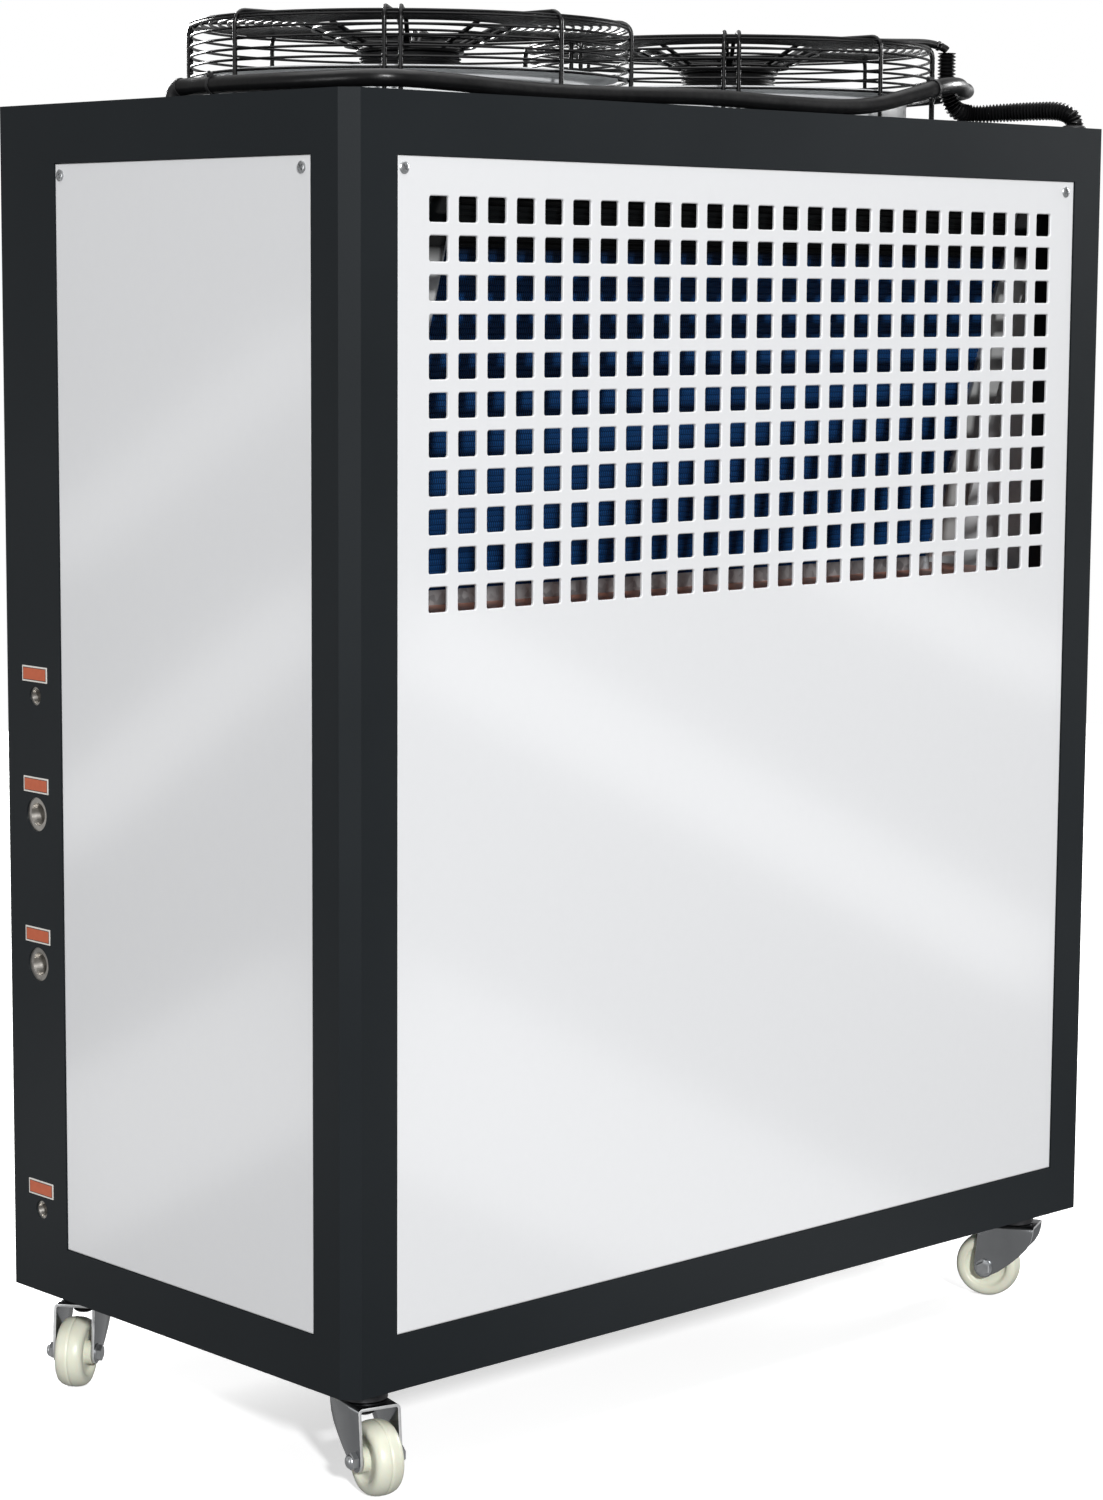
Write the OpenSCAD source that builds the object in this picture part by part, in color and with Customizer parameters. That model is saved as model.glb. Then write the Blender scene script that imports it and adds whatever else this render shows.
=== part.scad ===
// Air cooled water chiller on casters, in millimetres.
// The frame stands on the ground at z = 0 with its centre at the origin.
// The long grille face looks toward -Y and the water ports are on the -X end.

/* [Cabinet] */
// length of the cabinet along X
body_w = 1120; // [1080:10:1240]
// depth of the cabinet along Y
body_d = 578; // [560:2:660]
// height of the cabinet without its casters
body_h = 1250; // [1200:10:1400]
// chamfer along the upright corners
edge_cut = 15; // [8:1:20]
// width of the frame beside the long panels
stile_w = 60; // [50:1:80]
// width of the frame at the front of the end panels
end_stile_w = 55; // [50:1:70]
// width of the frame that carries the water ports
port_stile_w = 110; // [90:1:120]
// height of the frame above the panels
top_rail_h = 60; // [50:1:70]
// height of the frame below the panels
low_rail_h = 55; // [45:1:65]
// depth of the top rails behind the outer face
rail_d = 40; // [30:1:45]

/* [Panels] */
// thickness of the white panels
panel_t = 3; // [2:0.5:4]
// how far the panels lie behind the frame's face
panel_inset = 1; // [0.5:0.5:2]
// slit round each panel
panel_slit = 0.3; // [0.2:0.1:0.5]
// thickness of the lip that a panel lies against
lip_t = 3; // [2:0.5:5]
// width of the lip that a panel lies against
lip_w = 14; // [10:1:20]

/* [Grille] */
// grille holes side by side
grille_cols = 25; // [10:1:25]
// grille rows
grille_rows = 11; // [4:1:11]
// distance between hole centres along X
grille_pitch_x = 37.3; // [34:0.1:38]
// distance between hole centres along Z
grille_pitch_z = 37; // [34:0.1:38]
// width of a grille hole
grille_hole_w = 24; // [18:0.5:26]
// height of a grille hole
grille_hole_h = 24.5; // [18:0.5:26]
// corner radius of a grille hole
grille_round = 2.5; // [1:0.5:4]
// panel above the first row of holes
grille_top = 37; // [25:1:60]

/* [Fans] */
// distance between the two fans
fan_gap = 473; // [466:1:500]
// radius of the wire guard
guard_r = 232; // [226:1:232]
// height of the guard's top ring above the deck
guard_h = 87; // [80:1:110]
// height of the guard's lowest side ring above the deck
guard_low = 29; // [20:1:35]
// side rings of a guard
side_rings = 6; // [3:1:6]
// rings of a guard's level top
top_rings = 12; // [4:1:12]
// rings of a guard's sunk middle
cone_rings = 5; // [2:1:5]
// wire of the rings
ring_wire = 3; // [2:0.5:4]
// wire of the arms
arm_wire = 5; // [4:0.5:6]
// radius where the guard's sunk middle begins
cone_r = 113; // [100:1:130]
// drop of the guard's middle below its rim
guard_dish = 27; // [20:1:27]
// inner radius of the bell mouth
mouth_r = 198; // [190:1:200]
// height of the bell mouth above the deck
mouth_h = 34; // [26:1:36]
// gap between blade tips and the bell mouth
tip_gap = 8; // [6:1:12]
// radius of the fan motor and the hub
hub_r = 53; // [45:1:60]
// blades of a fan
blade_count = 5; // [3:1:7]
// width of a blade
blade_w = 130; // [80:5:135]
// pitch of a blade in degrees
blade_pitch = 32; // [20:1:34]

/* [Water ports] */
// height of the filling port above the cabinet's floor
fill_z = 641; // [600:1:680]
// height of the water inlet above the cabinet's floor
inlet_z = 516; // [480:1:550]
// height of the water outlet above the cabinet's floor
outlet_z = 356; // [320:1:390]
// height of the drain above the cabinet's floor
drain_z = 90; // [80:1:120]
// outer radius of the large sockets
big_socket_r = 18; // [17:0.5:20]
// thread core radius of the large sockets, three quarter inch pipe
big_bore_r = 12.1; // [10:0.1:15]
// outer radius of the small sockets
small_socket_r = 10; // [9:0.5:12]
// thread core radius of the small sockets, three eighths pipe
small_bore_r = 7.5; // [5:0.1:7.5]
// depth of the socket threads
socket_depth = 25; // [15:1:30]

/* [Casters] */
// height of the cabinet's floor above the ground
ride_h = 110; // [106:1:125]
// caster wheel radius
wheel_r = 37.5; // [32:0.5:40]
// caster wheel width
wheel_w = 30; // [24:1:30]
// distance of the swivel axes from the end faces
caster_in_x = 62; // [55:1:90]
// distance of the swivel axes from the long faces
caster_in_y = 53; // [50:1:80]
// distance of the axle from the swivel axis
trail = 28; // [20:1:32]
// radius of the axles
axle_r = 5; // [4:0.5:6]

/* [Hidden] */

// places that follow from the sizes above
floor_z = ride_h;
deck_z = ride_h + body_h;
half_w = body_w / 2;
half_d = body_d / 2;
long_panel_w = body_w - 2 * stile_w;
end_panel_w = body_d - end_stile_w - port_stile_w;
panel_h = body_h - top_rail_h - low_rail_h;
panel_z = floor_z + low_rail_h;
lip_y = panel_inset + panel_t;
deck_t = 4;
deck_edge = 20;
running = 0.05;

// colours of the views
charcoal = [0.15, 0.16, 0.17];
white = [0.9, 0.9, 0.9];
zinc = [0.7, 0.7, 0.72];
black = [0.06, 0.06, 0.06];

// Smooth routes and round tubes

function spline(p, i, t) =
  let (a = p[max(i - 1, 0)], b = p[i], c = p[i + 1], d = p[min(i + 2, len(p) - 1)])
  0.5 * (2 * b + (c - a) * t + (2 * a - 5 * b + 4 * c - d) * t * t
    + (3 * b - a - 3 * c + d) * t * t * t);

function route(p, steps) = concat(
  [for (i = [0 : len(p) - 2]) for (k = [0 : steps - 1]) spline(p, i, k / steps)],
  [p[len(p) - 1]]);

function unit(v) = v / norm(v);

function heading(p, i) = unit(p[min(i + 1, len(p) - 1)] - p[max(i - 1, 0)]);

// a closed tube of a few sides along a route
module swept_tube(p, r, sides = 10) {
  n = len(p);
  points = [for (i = [0 : n - 1])
    let (along = heading(p, i), side = unit(cross(along, [0.05, 0.03, 1])), lift = cross(side, along))
    for (k = [0 : sides - 1])
      p[i] + r * (cos(360 * k / sides) * side + sin(360 * k / sides) * lift)];
  walls = [for (i = [0 : n - 2]) for (k = [0 : sides - 1])
    let (a = i * sides + k, b = i * sides + (k + 1) % sides)
    [a, b, b + sides, a + sides]];
  start_cap = [[for (k = [sides - 1 : -1 : 0]) k]];
  end_cap = [[for (k = [0 : sides - 1]) (n - 1) * sides + k]];
  polyhedron(points, concat(walls, start_cap, end_cap), convexity = 8);
}

// Frame: a base tray, four corner posts, four top rails and the deck

// the base fills the floor between the posts and has upright lips behind the panels
module base_tray() {
  color(charcoal) {
    translate([-half_w + stile_w, -half_d, floor_z])
      cube([long_panel_w, body_d, low_rail_h]);
    for (side = [-1, 1])
      translate([side < 0 ? -half_w : half_w - stile_w, -half_d + end_stile_w, floor_z])
        cube([stile_w, end_panel_w, low_rail_h]);
    for (side = [-1, 1])
      translate([-long_panel_w / 2 + lip_w, side < 0 ? -half_d + lip_y : half_d - lip_y - lip_t, panel_z])
        cube([long_panel_w - 2 * lip_w, lip_t, lip_w]);
    for (side = [-1, 1])
      translate([side < 0 ? -half_w + lip_y : half_w - lip_y - lip_t,
                 -half_d + end_stile_w + lip_w, panel_z])
        cube([lip_t, end_panel_w - 2 * lip_w, lip_w]);
  }
}

// section of a post whose outer corner is at the origin
module post_section(depth) {
  polygon([[edge_cut, 0], [stile_w, 0], [stile_w, lip_y], [stile_w + lip_w, lip_y],
           [stile_w + lip_w, lip_y + lip_t], [stile_w, lip_y + lip_t], [stile_w, depth],
           [lip_y + lip_t, depth], [lip_y + lip_t, depth + lip_w], [lip_y, depth + lip_w],
           [lip_y, depth], [0, depth], [0, edge_cut]]);
}

// a post between the floor and the deck, notched at the top for the deck and lip free in the rails
module post(depth) {
  difference() {
    translate([0, 0, floor_z]) linear_extrude(body_h) post_section(depth);
    translate([deck_edge, deck_edge, deck_z - deck_t]) cube([stile_w, depth + lip_w, deck_t + 1]);
    for (z = [floor_z - 1, deck_z - top_rail_h]) {
      high = z < floor_z ? low_rail_h + 1 : top_rail_h + 1;
      translate([stile_w, -1, z]) cube([lip_w + 1, depth, high]);
      translate([-1, depth, z]) cube([stile_w, lip_w + 1, high]);
    }
  }
}

module corner_post_front_left() {
  color(charcoal) translate([-half_w, -half_d, 0]) post(end_stile_w);
}

module corner_post_front_right() {
  color(charcoal) translate([half_w, -half_d, 0]) mirror([1, 0, 0]) post(end_stile_w);
}

module corner_post_rear_left() {
  color(charcoal) difference() {
    translate([-half_w, half_d, 0]) mirror([0, 1, 0]) post(port_stile_w);
    port_hole(fill_z, small_socket_r);
    port_hole(inlet_z, big_socket_r);
    port_hole(outlet_z, big_socket_r);
    port_hole(drain_z, small_socket_r);
  }
}

module corner_post_rear_right() {
  color(charcoal) translate([half_w, half_d, 0]) mirror([1, 0, 0]) mirror([0, 1, 0]) post(port_stile_w);
}

// a rail along +X whose outer face looks toward -Y, with a ledge for the deck and a lip below
module top_rail(length) {
  translate([0, 0, deck_z - top_rail_h]) cube([length, deck_edge, top_rail_h]);
  translate([0, deck_edge, deck_z - top_rail_h]) cube([length, rail_d - deck_edge, top_rail_h - deck_t]);
  translate([lip_w, lip_y, deck_z - top_rail_h - lip_w]) cube([length - 2 * lip_w, lip_t, lip_w]);
}

module top_rail_front() {
  color(charcoal) translate([-long_panel_w / 2, -half_d, 0]) top_rail(long_panel_w);
}

module top_rail_rear() {
  color(charcoal) translate([long_panel_w / 2, half_d, 0]) rotate([0, 0, 180]) top_rail(long_panel_w);
}

module top_rail_left() {
  color(charcoal) translate([-half_w, half_d - port_stile_w, 0]) rotate([0, 0, -90]) top_rail(end_panel_w);
}

module top_rail_right() {
  color(charcoal) translate([half_w, -half_d + end_stile_w, 0]) rotate([0, 0, 90]) top_rail(end_panel_w);
}

module top_deck() {
  color(charcoal) difference() {
    translate([-half_w + deck_edge, -half_d + deck_edge, deck_z - deck_t])
      cube([body_w - 2 * deck_edge, body_d - 2 * deck_edge, deck_t]);
    for (side = [-1, 1])
      translate([side * fan_gap / 2, 0, deck_z - deck_t - 1])
        cylinder(r = mouth_r + 3, h = deck_t + 2, $fn = 120);
  }
}

// Panels: two grille sides and two plain ends

// outline of a grille hole with its corners cut off
function hole_outline() = [for (q = [0 : 3]) for (s = [0 : 1])
  let (a = 90 * (q + s),
       cx = (q == 0 || q == 3 ? 1 : -1) * (grille_hole_w / 2 - grille_round),
       cz = (q < 2 ? 1 : -1) * (grille_hole_h / 2 - grille_round))
  [cx + grille_round * cos(a), cz + grille_round * sin(a)]];

// a panel whose outer face looks toward -Y at y = 0
module grille_panel() {
  wide = long_panel_w - 2 * panel_slit;
  high = panel_h - 2 * panel_slit;
  first_x = -(grille_cols - 1) / 2 * grille_pitch_x;
  first_z = panel_z + panel_h - grille_top - grille_hole_h / 2;
  difference() {
    translate([-wide / 2, 0, panel_z + panel_slit]) cube([wide, panel_t, high]);
    for (row = [0 : grille_rows - 1]) for (col = [0 : grille_cols - 1])
      translate([first_x + col * grille_pitch_x, panel_t + 1, first_z - row * grille_pitch_z])
        rotate([90, 0, 0]) linear_extrude(panel_t + 2) polygon(hole_outline());
  }
}

module front_panel() {
  color(white) translate([0, -half_d + panel_inset, 0]) grille_panel();
}

module rear_panel() {
  color(white) translate([0, half_d - panel_inset - panel_t, 0]) grille_panel();
}

module end_panel() {
  translate([0, -half_d + end_stile_w + panel_slit, panel_z + panel_slit])
    cube([panel_t, end_panel_w - 2 * panel_slit, panel_h - 2 * panel_slit]);
}

module left_end_panel() {
  color(white) translate([-half_w + panel_inset, 0, 0]) end_panel();
}

module right_end_panel() {
  color(white) translate([half_w - panel_inset - panel_t, 0, 0]) end_panel();
}

// Water ports: sockets let into the wide post, with label plates above them

port_y = half_d - port_stile_w / 2 - 10;
label_w = 44;
label_h = 16.5;
label_t = 1;

module port_hole(z, r) {
  translate([-half_w - 1, port_y, floor_z + z]) rotate([0, 90, 0])
    cylinder(r = r, h = stile_w + 2, $fn = 48);
}

module port_socket(z, r, bore_r) {
  translate([-half_w + 2, port_y, floor_z + z]) rotate([0, 90, 0]) difference() {
    cylinder(r = r, h = stile_w + 6, $fn = 48);
    translate([0, 0, -1]) cylinder(r = bore_r, h = socket_depth + 1, $fn = 48);
  }
}

module fill_port() { color(zinc) port_socket(fill_z, small_socket_r, small_bore_r); }
module water_inlet_port() { color(zinc) port_socket(inlet_z, big_socket_r, big_bore_r); }
module water_outlet_port() { color(zinc) port_socket(outlet_z, big_socket_r, big_bore_r); }
module drain_port() { color(zinc) port_socket(drain_z, small_socket_r, small_bore_r); }

module port_label_plates() {
  color([0.8, 0.35, 0.2])
    for (place = [[fill_z, small_socket_r + 5], [inlet_z, big_socket_r + 5],
                  [outlet_z, big_socket_r + 5], [drain_z, small_socket_r + 5]])
      translate([-half_w - label_t, port_y - label_w / 2, floor_z + place[0] + place[1]])
        cube([label_t, label_w, label_h]);
}

// Fans: bell mouth, guard, motor and rotor, drawn round the fan's axis with the deck at z = 0

module at_fan(side) {
  translate([side * fan_gap / 2, 0, deck_z]) children();
}

// a ring that flares out at its upper lip and has a flange on the deck
module fan_mouth() {
  rotate_extrude($fn = 120)
    polygon([[mouth_r, -deck_t - 30], [mouth_r + 3, -deck_t - 30], [mouth_r + 3, 0], [mouth_r + 20, 0],
             [mouth_r + 20, 3], [mouth_r + 6, 3], [mouth_r + 6, mouth_h - 14],
             [mouth_r + 13, mouth_h - 3], [mouth_r + 18, mouth_h - 3], [mouth_r + 18, mouth_h],
             [mouth_r + 11, mouth_h], [mouth_r + 4, mouth_h - 8], [mouth_r, mouth_h - 20]]);
}

// directions of the guard's arms: one along each axis and a pair on each diagonal
arm_pair = 4;
arm_angles = [for (q = [0 : 3]) for (a = [90 * q, 90 * q + 45 - arm_pair / 2, 90 * q + 45 + arm_pair / 2]) a];
plate_r = hub_r + 3;
plate_t = 3;
plate_top = guard_h - guard_dish;
cone_run = cone_r - plate_r;
cone_angle = atan(guard_dish / cone_run);
// how far crossing wires sink into each other
weld = 0.5;

module guard_ring(r, z) {
  translate([0, 0, z]) difference() {
    cylinder(r = r + ring_wire / 2, h = ring_wire, $fn = 96);
    translate([0, 0, -1]) cylinder(r = r - ring_wire / 2, h = ring_wire + 2, $fn = 96);
  }
}

// a wire that stands on the deck, crosses the level top and runs down to the plate
module guard_arm() {
  slope = norm([cone_run, guard_dish]);
  translate([guard_r - arm_wire, -arm_wire / 2, 0]) cube([arm_wire, arm_wire, guard_h + arm_wire]);
  translate([cone_r, -arm_wire / 2, guard_h]) cube([guard_r - cone_r, arm_wire, arm_wire]);
  translate([cone_r + 1, -arm_wire / 2, guard_h]) rotate([0, -cone_angle, 0])
    translate([-slope - 3, 0, 0]) cube([slope + 3, arm_wire, arm_wire]);
}

module fan_guard() {
  side_r = guard_r - arm_wire - ring_wire / 2 + weld;
  side_step = (guard_h - guard_low - 2 * ring_wire) / (side_rings - 1);
  top_step = (side_r - cone_r) / top_rings;
  cone_step = cone_run / cone_rings;
  for (i = [0 : side_rings - 1]) guard_ring(side_r, guard_low + i * side_step);
  for (i = [0 : top_rings]) guard_ring(cone_r + i * top_step, guard_h - ring_wire + weld);
  for (i = [1 : cone_rings - 1])
    guard_ring(plate_r + i * cone_step, plate_top + i * cone_step * tan(cone_angle) - ring_wire + 2 * weld);
  for (a = arm_angles) rotate([0, 0, a]) guard_arm();
  translate([0, 0, plate_top - plate_t]) cylinder(r = plate_r, h = plate_t + arm_wire / 2, $fn = 72);
}

motor_low = 30;
hub_top = motor_low - 6;
rotor_mid = -16;
shaft_r = 10;

module fan_motor() {
  translate([0, 0, motor_low]) cylinder(r = hub_r, h = plate_top - plate_t - motor_low, $fn = 72);
  translate([0, 0, -42]) cylinder(r = shaft_r, h = motor_low + 43, $fn = 48);
}

module fan_blade() {
  intersection() {
    translate([0, 0, rotor_mid]) rotate([blade_pitch, 0, 0])
      translate([hub_r - 6, -blade_w / 2, -2]) cube([mouth_r, blade_w, 4]);
    translate([0, 0, -70]) difference() {
      cylinder(r = mouth_r - tip_gap, h = 120, $fn = 120);
      translate([0, 0, -1]) cylinder(r = hub_r - 3, h = 122, $fn = 72);
    }
  }
}

module fan_rotor() {
  difference() {
    translate([0, 0, -60]) cylinder(r = hub_r, h = 60 + hub_top, $fn = 72);
    translate([0, 0, -43]) cylinder(r = shaft_r + running, h = 100, $fn = 48);
  }
  for (i = [0 : blade_count - 1]) rotate([0, 0, 360 * i / blade_count]) fan_blade();
}

module fan_mouth_left() { color(zinc) at_fan(-1) fan_mouth(); }
module fan_mouth_right() { color(zinc) at_fan(1) fan_mouth(); }
module fan_guard_left() { color(black) at_fan(-1) fan_guard(); }
module fan_guard_right() { color(black) at_fan(1) fan_guard(); }
module fan_motor_left() { color(black) at_fan(-1) fan_motor(); }
module fan_motor_right() { color(black) at_fan(1) fan_motor(); }
module fan_rotor_left() { color(black) at_fan(-1) fan_rotor(); }
module fan_rotor_right() { color(black) at_fan(1) fan_rotor(); }

// Condenser: two coils that lean together at the bottom, in casings that stand on a pan

// between each end of the coils and the cabinet's end
coil_end_gap = 145;
coil_l = body_w - 2 * coil_end_gap;
coil_t = 44;
coil_lean = 17;
casing_t = 2;
channel_h = 15;
// how far the coils end above the lowest edge of the grille
coil_lift = 6.5;
coil_top = deck_z - top_rail_h - 8;
coil_low = deck_z - top_rail_h - grille_top - (grille_rows - 1) * grille_pitch_z - grille_hole_h
  + coil_lift;
coil_run = (coil_top - coil_low) / cos(coil_lean) - coil_t * tan(coil_lean);
coil_face_y = -half_d + lip_y + lip_t + 6;
pan_t = 4;
pan_z = coil_low - channel_h - pan_t;

// corners of the leaning section in Y and Z: down the front face, then through the coil
function coil_corner(along, through) =
  [coil_face_y + along * sin(coil_lean) + through * cos(coil_lean),
   coil_top - coil_t * sin(coil_lean) - along * cos(coil_lean) + through * sin(coil_lean)];

module along_x(from, length) {
  translate([from, 0, 0]) rotate([90, 0, 90]) linear_extrude(length) children();
}

module coil_block() {
  along_x(-coil_l / 2, coil_l)
    polygon([coil_corner(0, 0), coil_corner(coil_run, 0), coil_corner(coil_run, coil_t), coil_corner(0, coil_t)]);
}

// end plates a little larger than the fins, and a foot under the coil that stands on the pan
module coil_casing() {
  foot_front = coil_corner(coil_run, 0);
  foot_back = coil_corner(coil_run, coil_t);
  for (x = [-coil_l / 2 - casing_t, coil_l / 2])
    along_x(x, casing_t)
      polygon([coil_corner(0, -4), coil_corner(coil_run, -4), [foot_front[0] - 4, pan_z + pan_t],
               [foot_back[0] + 4, pan_z + pan_t], coil_corner(coil_run, coil_t + 4),
               coil_corner(0, coil_t + 4)]);
  along_x(-coil_l / 2, coil_l)
    polygon([foot_front, [foot_front[0], pan_z + pan_t], [foot_back[0], pan_z + pan_t], foot_back]);
}

// a sheet that closes the space between the coils at each end
module coil_closing_plates() {
  inner_top = coil_corner(0, coil_t + 4);
  inner_low = coil_corner(coil_run, coil_t + 4);
  color(zinc) for (x = [-coil_l / 2 - casing_t, coil_l / 2])
    along_x(x, casing_t)
      polygon([inner_top, inner_low, [inner_low[0], pan_z + pan_t], [-inner_low[0], pan_z + pan_t],
               [-inner_low[0], inner_low[1]], [-inner_top[0], inner_top[1]]]);
}

module coil_front() { color([0.1, 0.25, 0.5]) coil_block(); }
module coil_rear() { color([0.1, 0.25, 0.5]) mirror([0, 1, 0]) coil_block(); }
module coil_casing_front() { color(zinc) coil_casing(); }
module coil_casing_rear() { color(zinc) mirror([0, 1, 0]) coil_casing(); }

// the pan reaches from post to post
module coil_drip_pan() {
  wide = long_panel_w;
  deep = body_d - 2 * (lip_y + lip_t + 1);
  color(zinc) translate([-wide / 2, -deep / 2, pan_z]) cube([wide, deep, pan_t]);
}

// Cables on the deck: a smooth hose round the fans, a corrugated conduit and a motor cable

hose_r = 8.5;
conduit_r = 10;
cable_r = 4.5;
gland_r = 14;
gland_h = 4;
seat = 0.2;
// upright start of the hose's and the conduit's right ends above their glands
hose_rise = 6;
conduit_rise = 2;
// distance of the hose from the cabinet's end and from the guards
hose_in = 40;
hose_clear = 20;
hose_left = -half_w + hose_in;
hose_front = -guard_r - hose_clear;
hose_right = fan_gap / 2 + guard_r + 1.3 * hose_clear;
// height of the hose's middle where it lies, and where it passes the conduit
lie_z = 12;
pass_z = 43;
drop_angle = -33;
drop_r = guard_r + 23;
drop_x = fan_gap / 2 + drop_r * cos(drop_angle);
drop_y = drop_r * sin(drop_angle);
conduit_top = guard_h - 1;
conduit_in = 29;
// an elbow leads the hose's left end into the deck
elbow_r = hose_r + 0.8;
elbow_y = 0.12 * guard_r;
hose_start = [hose_left, elbow_y - lie_z - seat, lie_z];
// deck entries of the hose's right end and of the conduit
hose_end = [hose_right + 0.02 * guard_r, 0.26 * guard_r, gland_h + seat];
conduit_end = [half_w - conduit_in, -half_d + conduit_in, gland_h + seat];

function above_deck(points) = [for (p = points) p + [0, 0, deck_z]];
function upright(entry, rise) = [entry, entry + [0, 0, rise], entry + [0, 0, 2 * rise]];
function reversed(points) = [for (i = [len(points) - 1 : -1 : 0]) points[i]];

module fan_cable_hose() {
  g = guard_r;
  points = above_deck(concat([
    hose_start, hose_start - g * [0, 0.04, 0], hose_start - g * [0, 0.08, 0], [hose_left - 0.01 * g, -0.26 * g, lie_z],
    [hose_left + 0.03 * g, -0.73 * g, lie_z], [hose_left + 0.18 * g, hose_front + 0.03 * g, 1.1 * lie_z],
    [hose_left + 0.52 * g, hose_front, lie_z], [-0.63 * fan_gap, hose_front + 0.01 * g, hose_r],
    [-0.42 * fan_gap, hose_front + 0.01 * g, 1.05 * hose_r], [-0.13 * fan_gap, hose_front, lie_z],
    [0.11 * fan_gap, hose_front, 1.2 * hose_r], [0.29 * fan_gap, hose_front, 1.15 * hose_r],
    [0.42 * fan_gap, hose_front, 1.17 * lie_z], [0.55 * fan_gap, hose_front, 0.62 * pass_z],
    [0.66 * fan_gap, hose_front + 0.01 * g, 0.9 * pass_z], [hose_right - 0.56 * g, hose_front + 0.1 * g, pass_z],
    [hose_right - 0.3 * g, hose_front + 0.29 * g, pass_z], [hose_right - 0.11 * g, hose_front + 0.43 * g, pass_z],
    [hose_right - 0.04 * g, hose_front + 0.63 * g, 0.95 * pass_z], [hose_right - 0.01 * g, -0.17 * g, 0.9 * pass_z],
    hose_end + g * [0, -0.15, 0.15], hose_end + g * [0, -0.03, 0.12]], reversed(upright(hose_end, hose_rise))));
  color(black) swept_tube(route(points, 3), hose_r);
}

module corrugated_conduit() {
  g = guard_r;
  drop = [drop_x, drop_y, 0];
  points = above_deck(concat([
    drop + [0, 0, conduit_top], drop + [0, 0, 0.8 * conduit_top], drop + g * [0.01, 0, 0.18],
    drop + g * [0.05, -0.02, 0.1], drop + g * [0.14, -0.06, 0.08], drop + g * [0.22, -0.18, 0.085],
    drop + g * [0.28, -0.33, 0.09], conduit_end + g * [-0.03, 0.08, 0.07], conduit_end + g * [-0.01, 0.02, 0.05]],
    reversed(upright(conduit_end, conduit_rise))));
  color(black) swept_tube(route(points, 4), conduit_r);
}

// the cable lies on the guard, follows its dish and turns down into the conduit
module motor_cable() {
  profile = [[plate_r + 8, plate_top + 12], [cone_r - 12, guard_h + 5], [cone_r + 14, guard_h + 9],
             [guard_r - 40, guard_h + 10], [guard_r - 4, guard_h + 10], [guard_r + 13, guard_h + 7],
             [drop_r - 1, conduit_top + 4], [drop_r, conduit_top + 2 * seat]];
  points = above_deck([for (p = profile)
    [fan_gap / 2 + p[0] * cos(drop_angle), p[0] * sin(drop_angle), p[1]]]);
  color(black) swept_tube(route(points, 4), cable_r, 8);
}

module cable_glands() {
  color(black) for (place = [hose_end, conduit_end])
    translate([place[0], place[1], deck_z]) cylinder(r = gland_r, h = gland_h, $fn = 48);
  color(black) translate([hose_left, elbow_y - lie_z, deck_z]) rotate([90, 0, 90])
    rotate_extrude(angle = 90, $fn = 72) translate([lie_z, 0]) circle(r = elbow_r, $fn = 48);
}

// Casters: a fixed top plate with its stud, a swivelling fork with the axle, and the wheel

fork_gap = wheel_w / 2 + 5;
fork_t = 3;
hub_half = fork_gap - 1;
crown_drop = 19;
crown_top = ride_h - crown_drop;
crown_t = 4;
mount_t = 4;
stud_r = 8;
fork_front = trail + 7;
fork_back = 30;

// rest directions of the four casters, as photographed where they show
turn_front_left = -14;
turn_front_right = -154;
turn_rear_left = -53;
turn_rear_right = 166;

module at_caster(sx, sy, turn) {
  translate([sx * (half_w - caster_in_x), sy * (half_d - caster_in_y), 0]) rotate([0, 0, turn]) children();
}

module caster_top() {
  translate([-46, -32, ride_h - mount_t]) cube([92, 64, mount_t]);
  translate([0, 0, crown_top + 1]) cylinder(r = 24, h = ride_h - mount_t - crown_top - 1, $fn = 60);
  translate([0, 0, crown_top - crown_t - 4]) cylinder(r = stud_r, h = crown_t + 6, $fn = 48);
  translate([0, 0, crown_top - crown_t - 6]) cylinder(r = 13, h = 5, $fn = 6);
}

module caster_top_plates() {
  color(zinc) for (sx = [-1, 1]) for (sy = [-1, 1]) at_caster(sx, sy, 0) caster_top();
}

// one cheek of the fork in Y and Z: straight in front, bulging behind and round at the axle
module fork_cheek() {
  polygon([[-fork_front, crown_top], [fork_back, crown_top], [fork_back, crown_top - 9],
           [fork_back - 3, crown_top - 18], [fork_back - 8, crown_top - 27], [fork_back - 17, crown_top - 37],
           [-trail + 9, wheel_r - 7], [-trail - 11.5, wheel_r]]);
  translate([-trail, wheel_r]) circle(r = 11.5, $fn = 48);
}

module caster_fork() {
  difference() {
    union() {
      for (x = [-fork_gap - fork_t, fork_gap]) along_x(x, fork_t) fork_cheek();
      translate([-fork_gap - fork_t, -fork_front, crown_top - crown_t])
        cube([2 * (fork_gap + fork_t), fork_front + fork_back, crown_t]);
    }
    translate([0, 0, crown_top - crown_t - 1]) cylinder(r = stud_r + running, h = crown_t + 2, $fn = 48);
    translate([-50, -trail, wheel_r]) rotate([0, 90, 0]) cylinder(r = axle_r, h = 100, $fn = 48);
  }
}

module caster_axle() {
  translate([0, -trail, wheel_r]) rotate([0, 90, 0]) {
    translate([0, 0, -fork_gap - fork_t - 1]) cylinder(r = axle_r, h = 2 * (fork_gap + fork_t) + 2, $fn = 48);
    translate([0, 0, -fork_gap - fork_t - 6]) cylinder(r = axle_r + 4, h = 6, $fn = 6);
    translate([0, 0, fork_gap + fork_t]) cylinder(r = axle_r + 4, h = 7, $fn = 6);
    translate([0, 0, fork_gap + fork_t + 7]) cylinder(r = axle_r + 1, h = 3, $fn = 48);
  }
}

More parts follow.
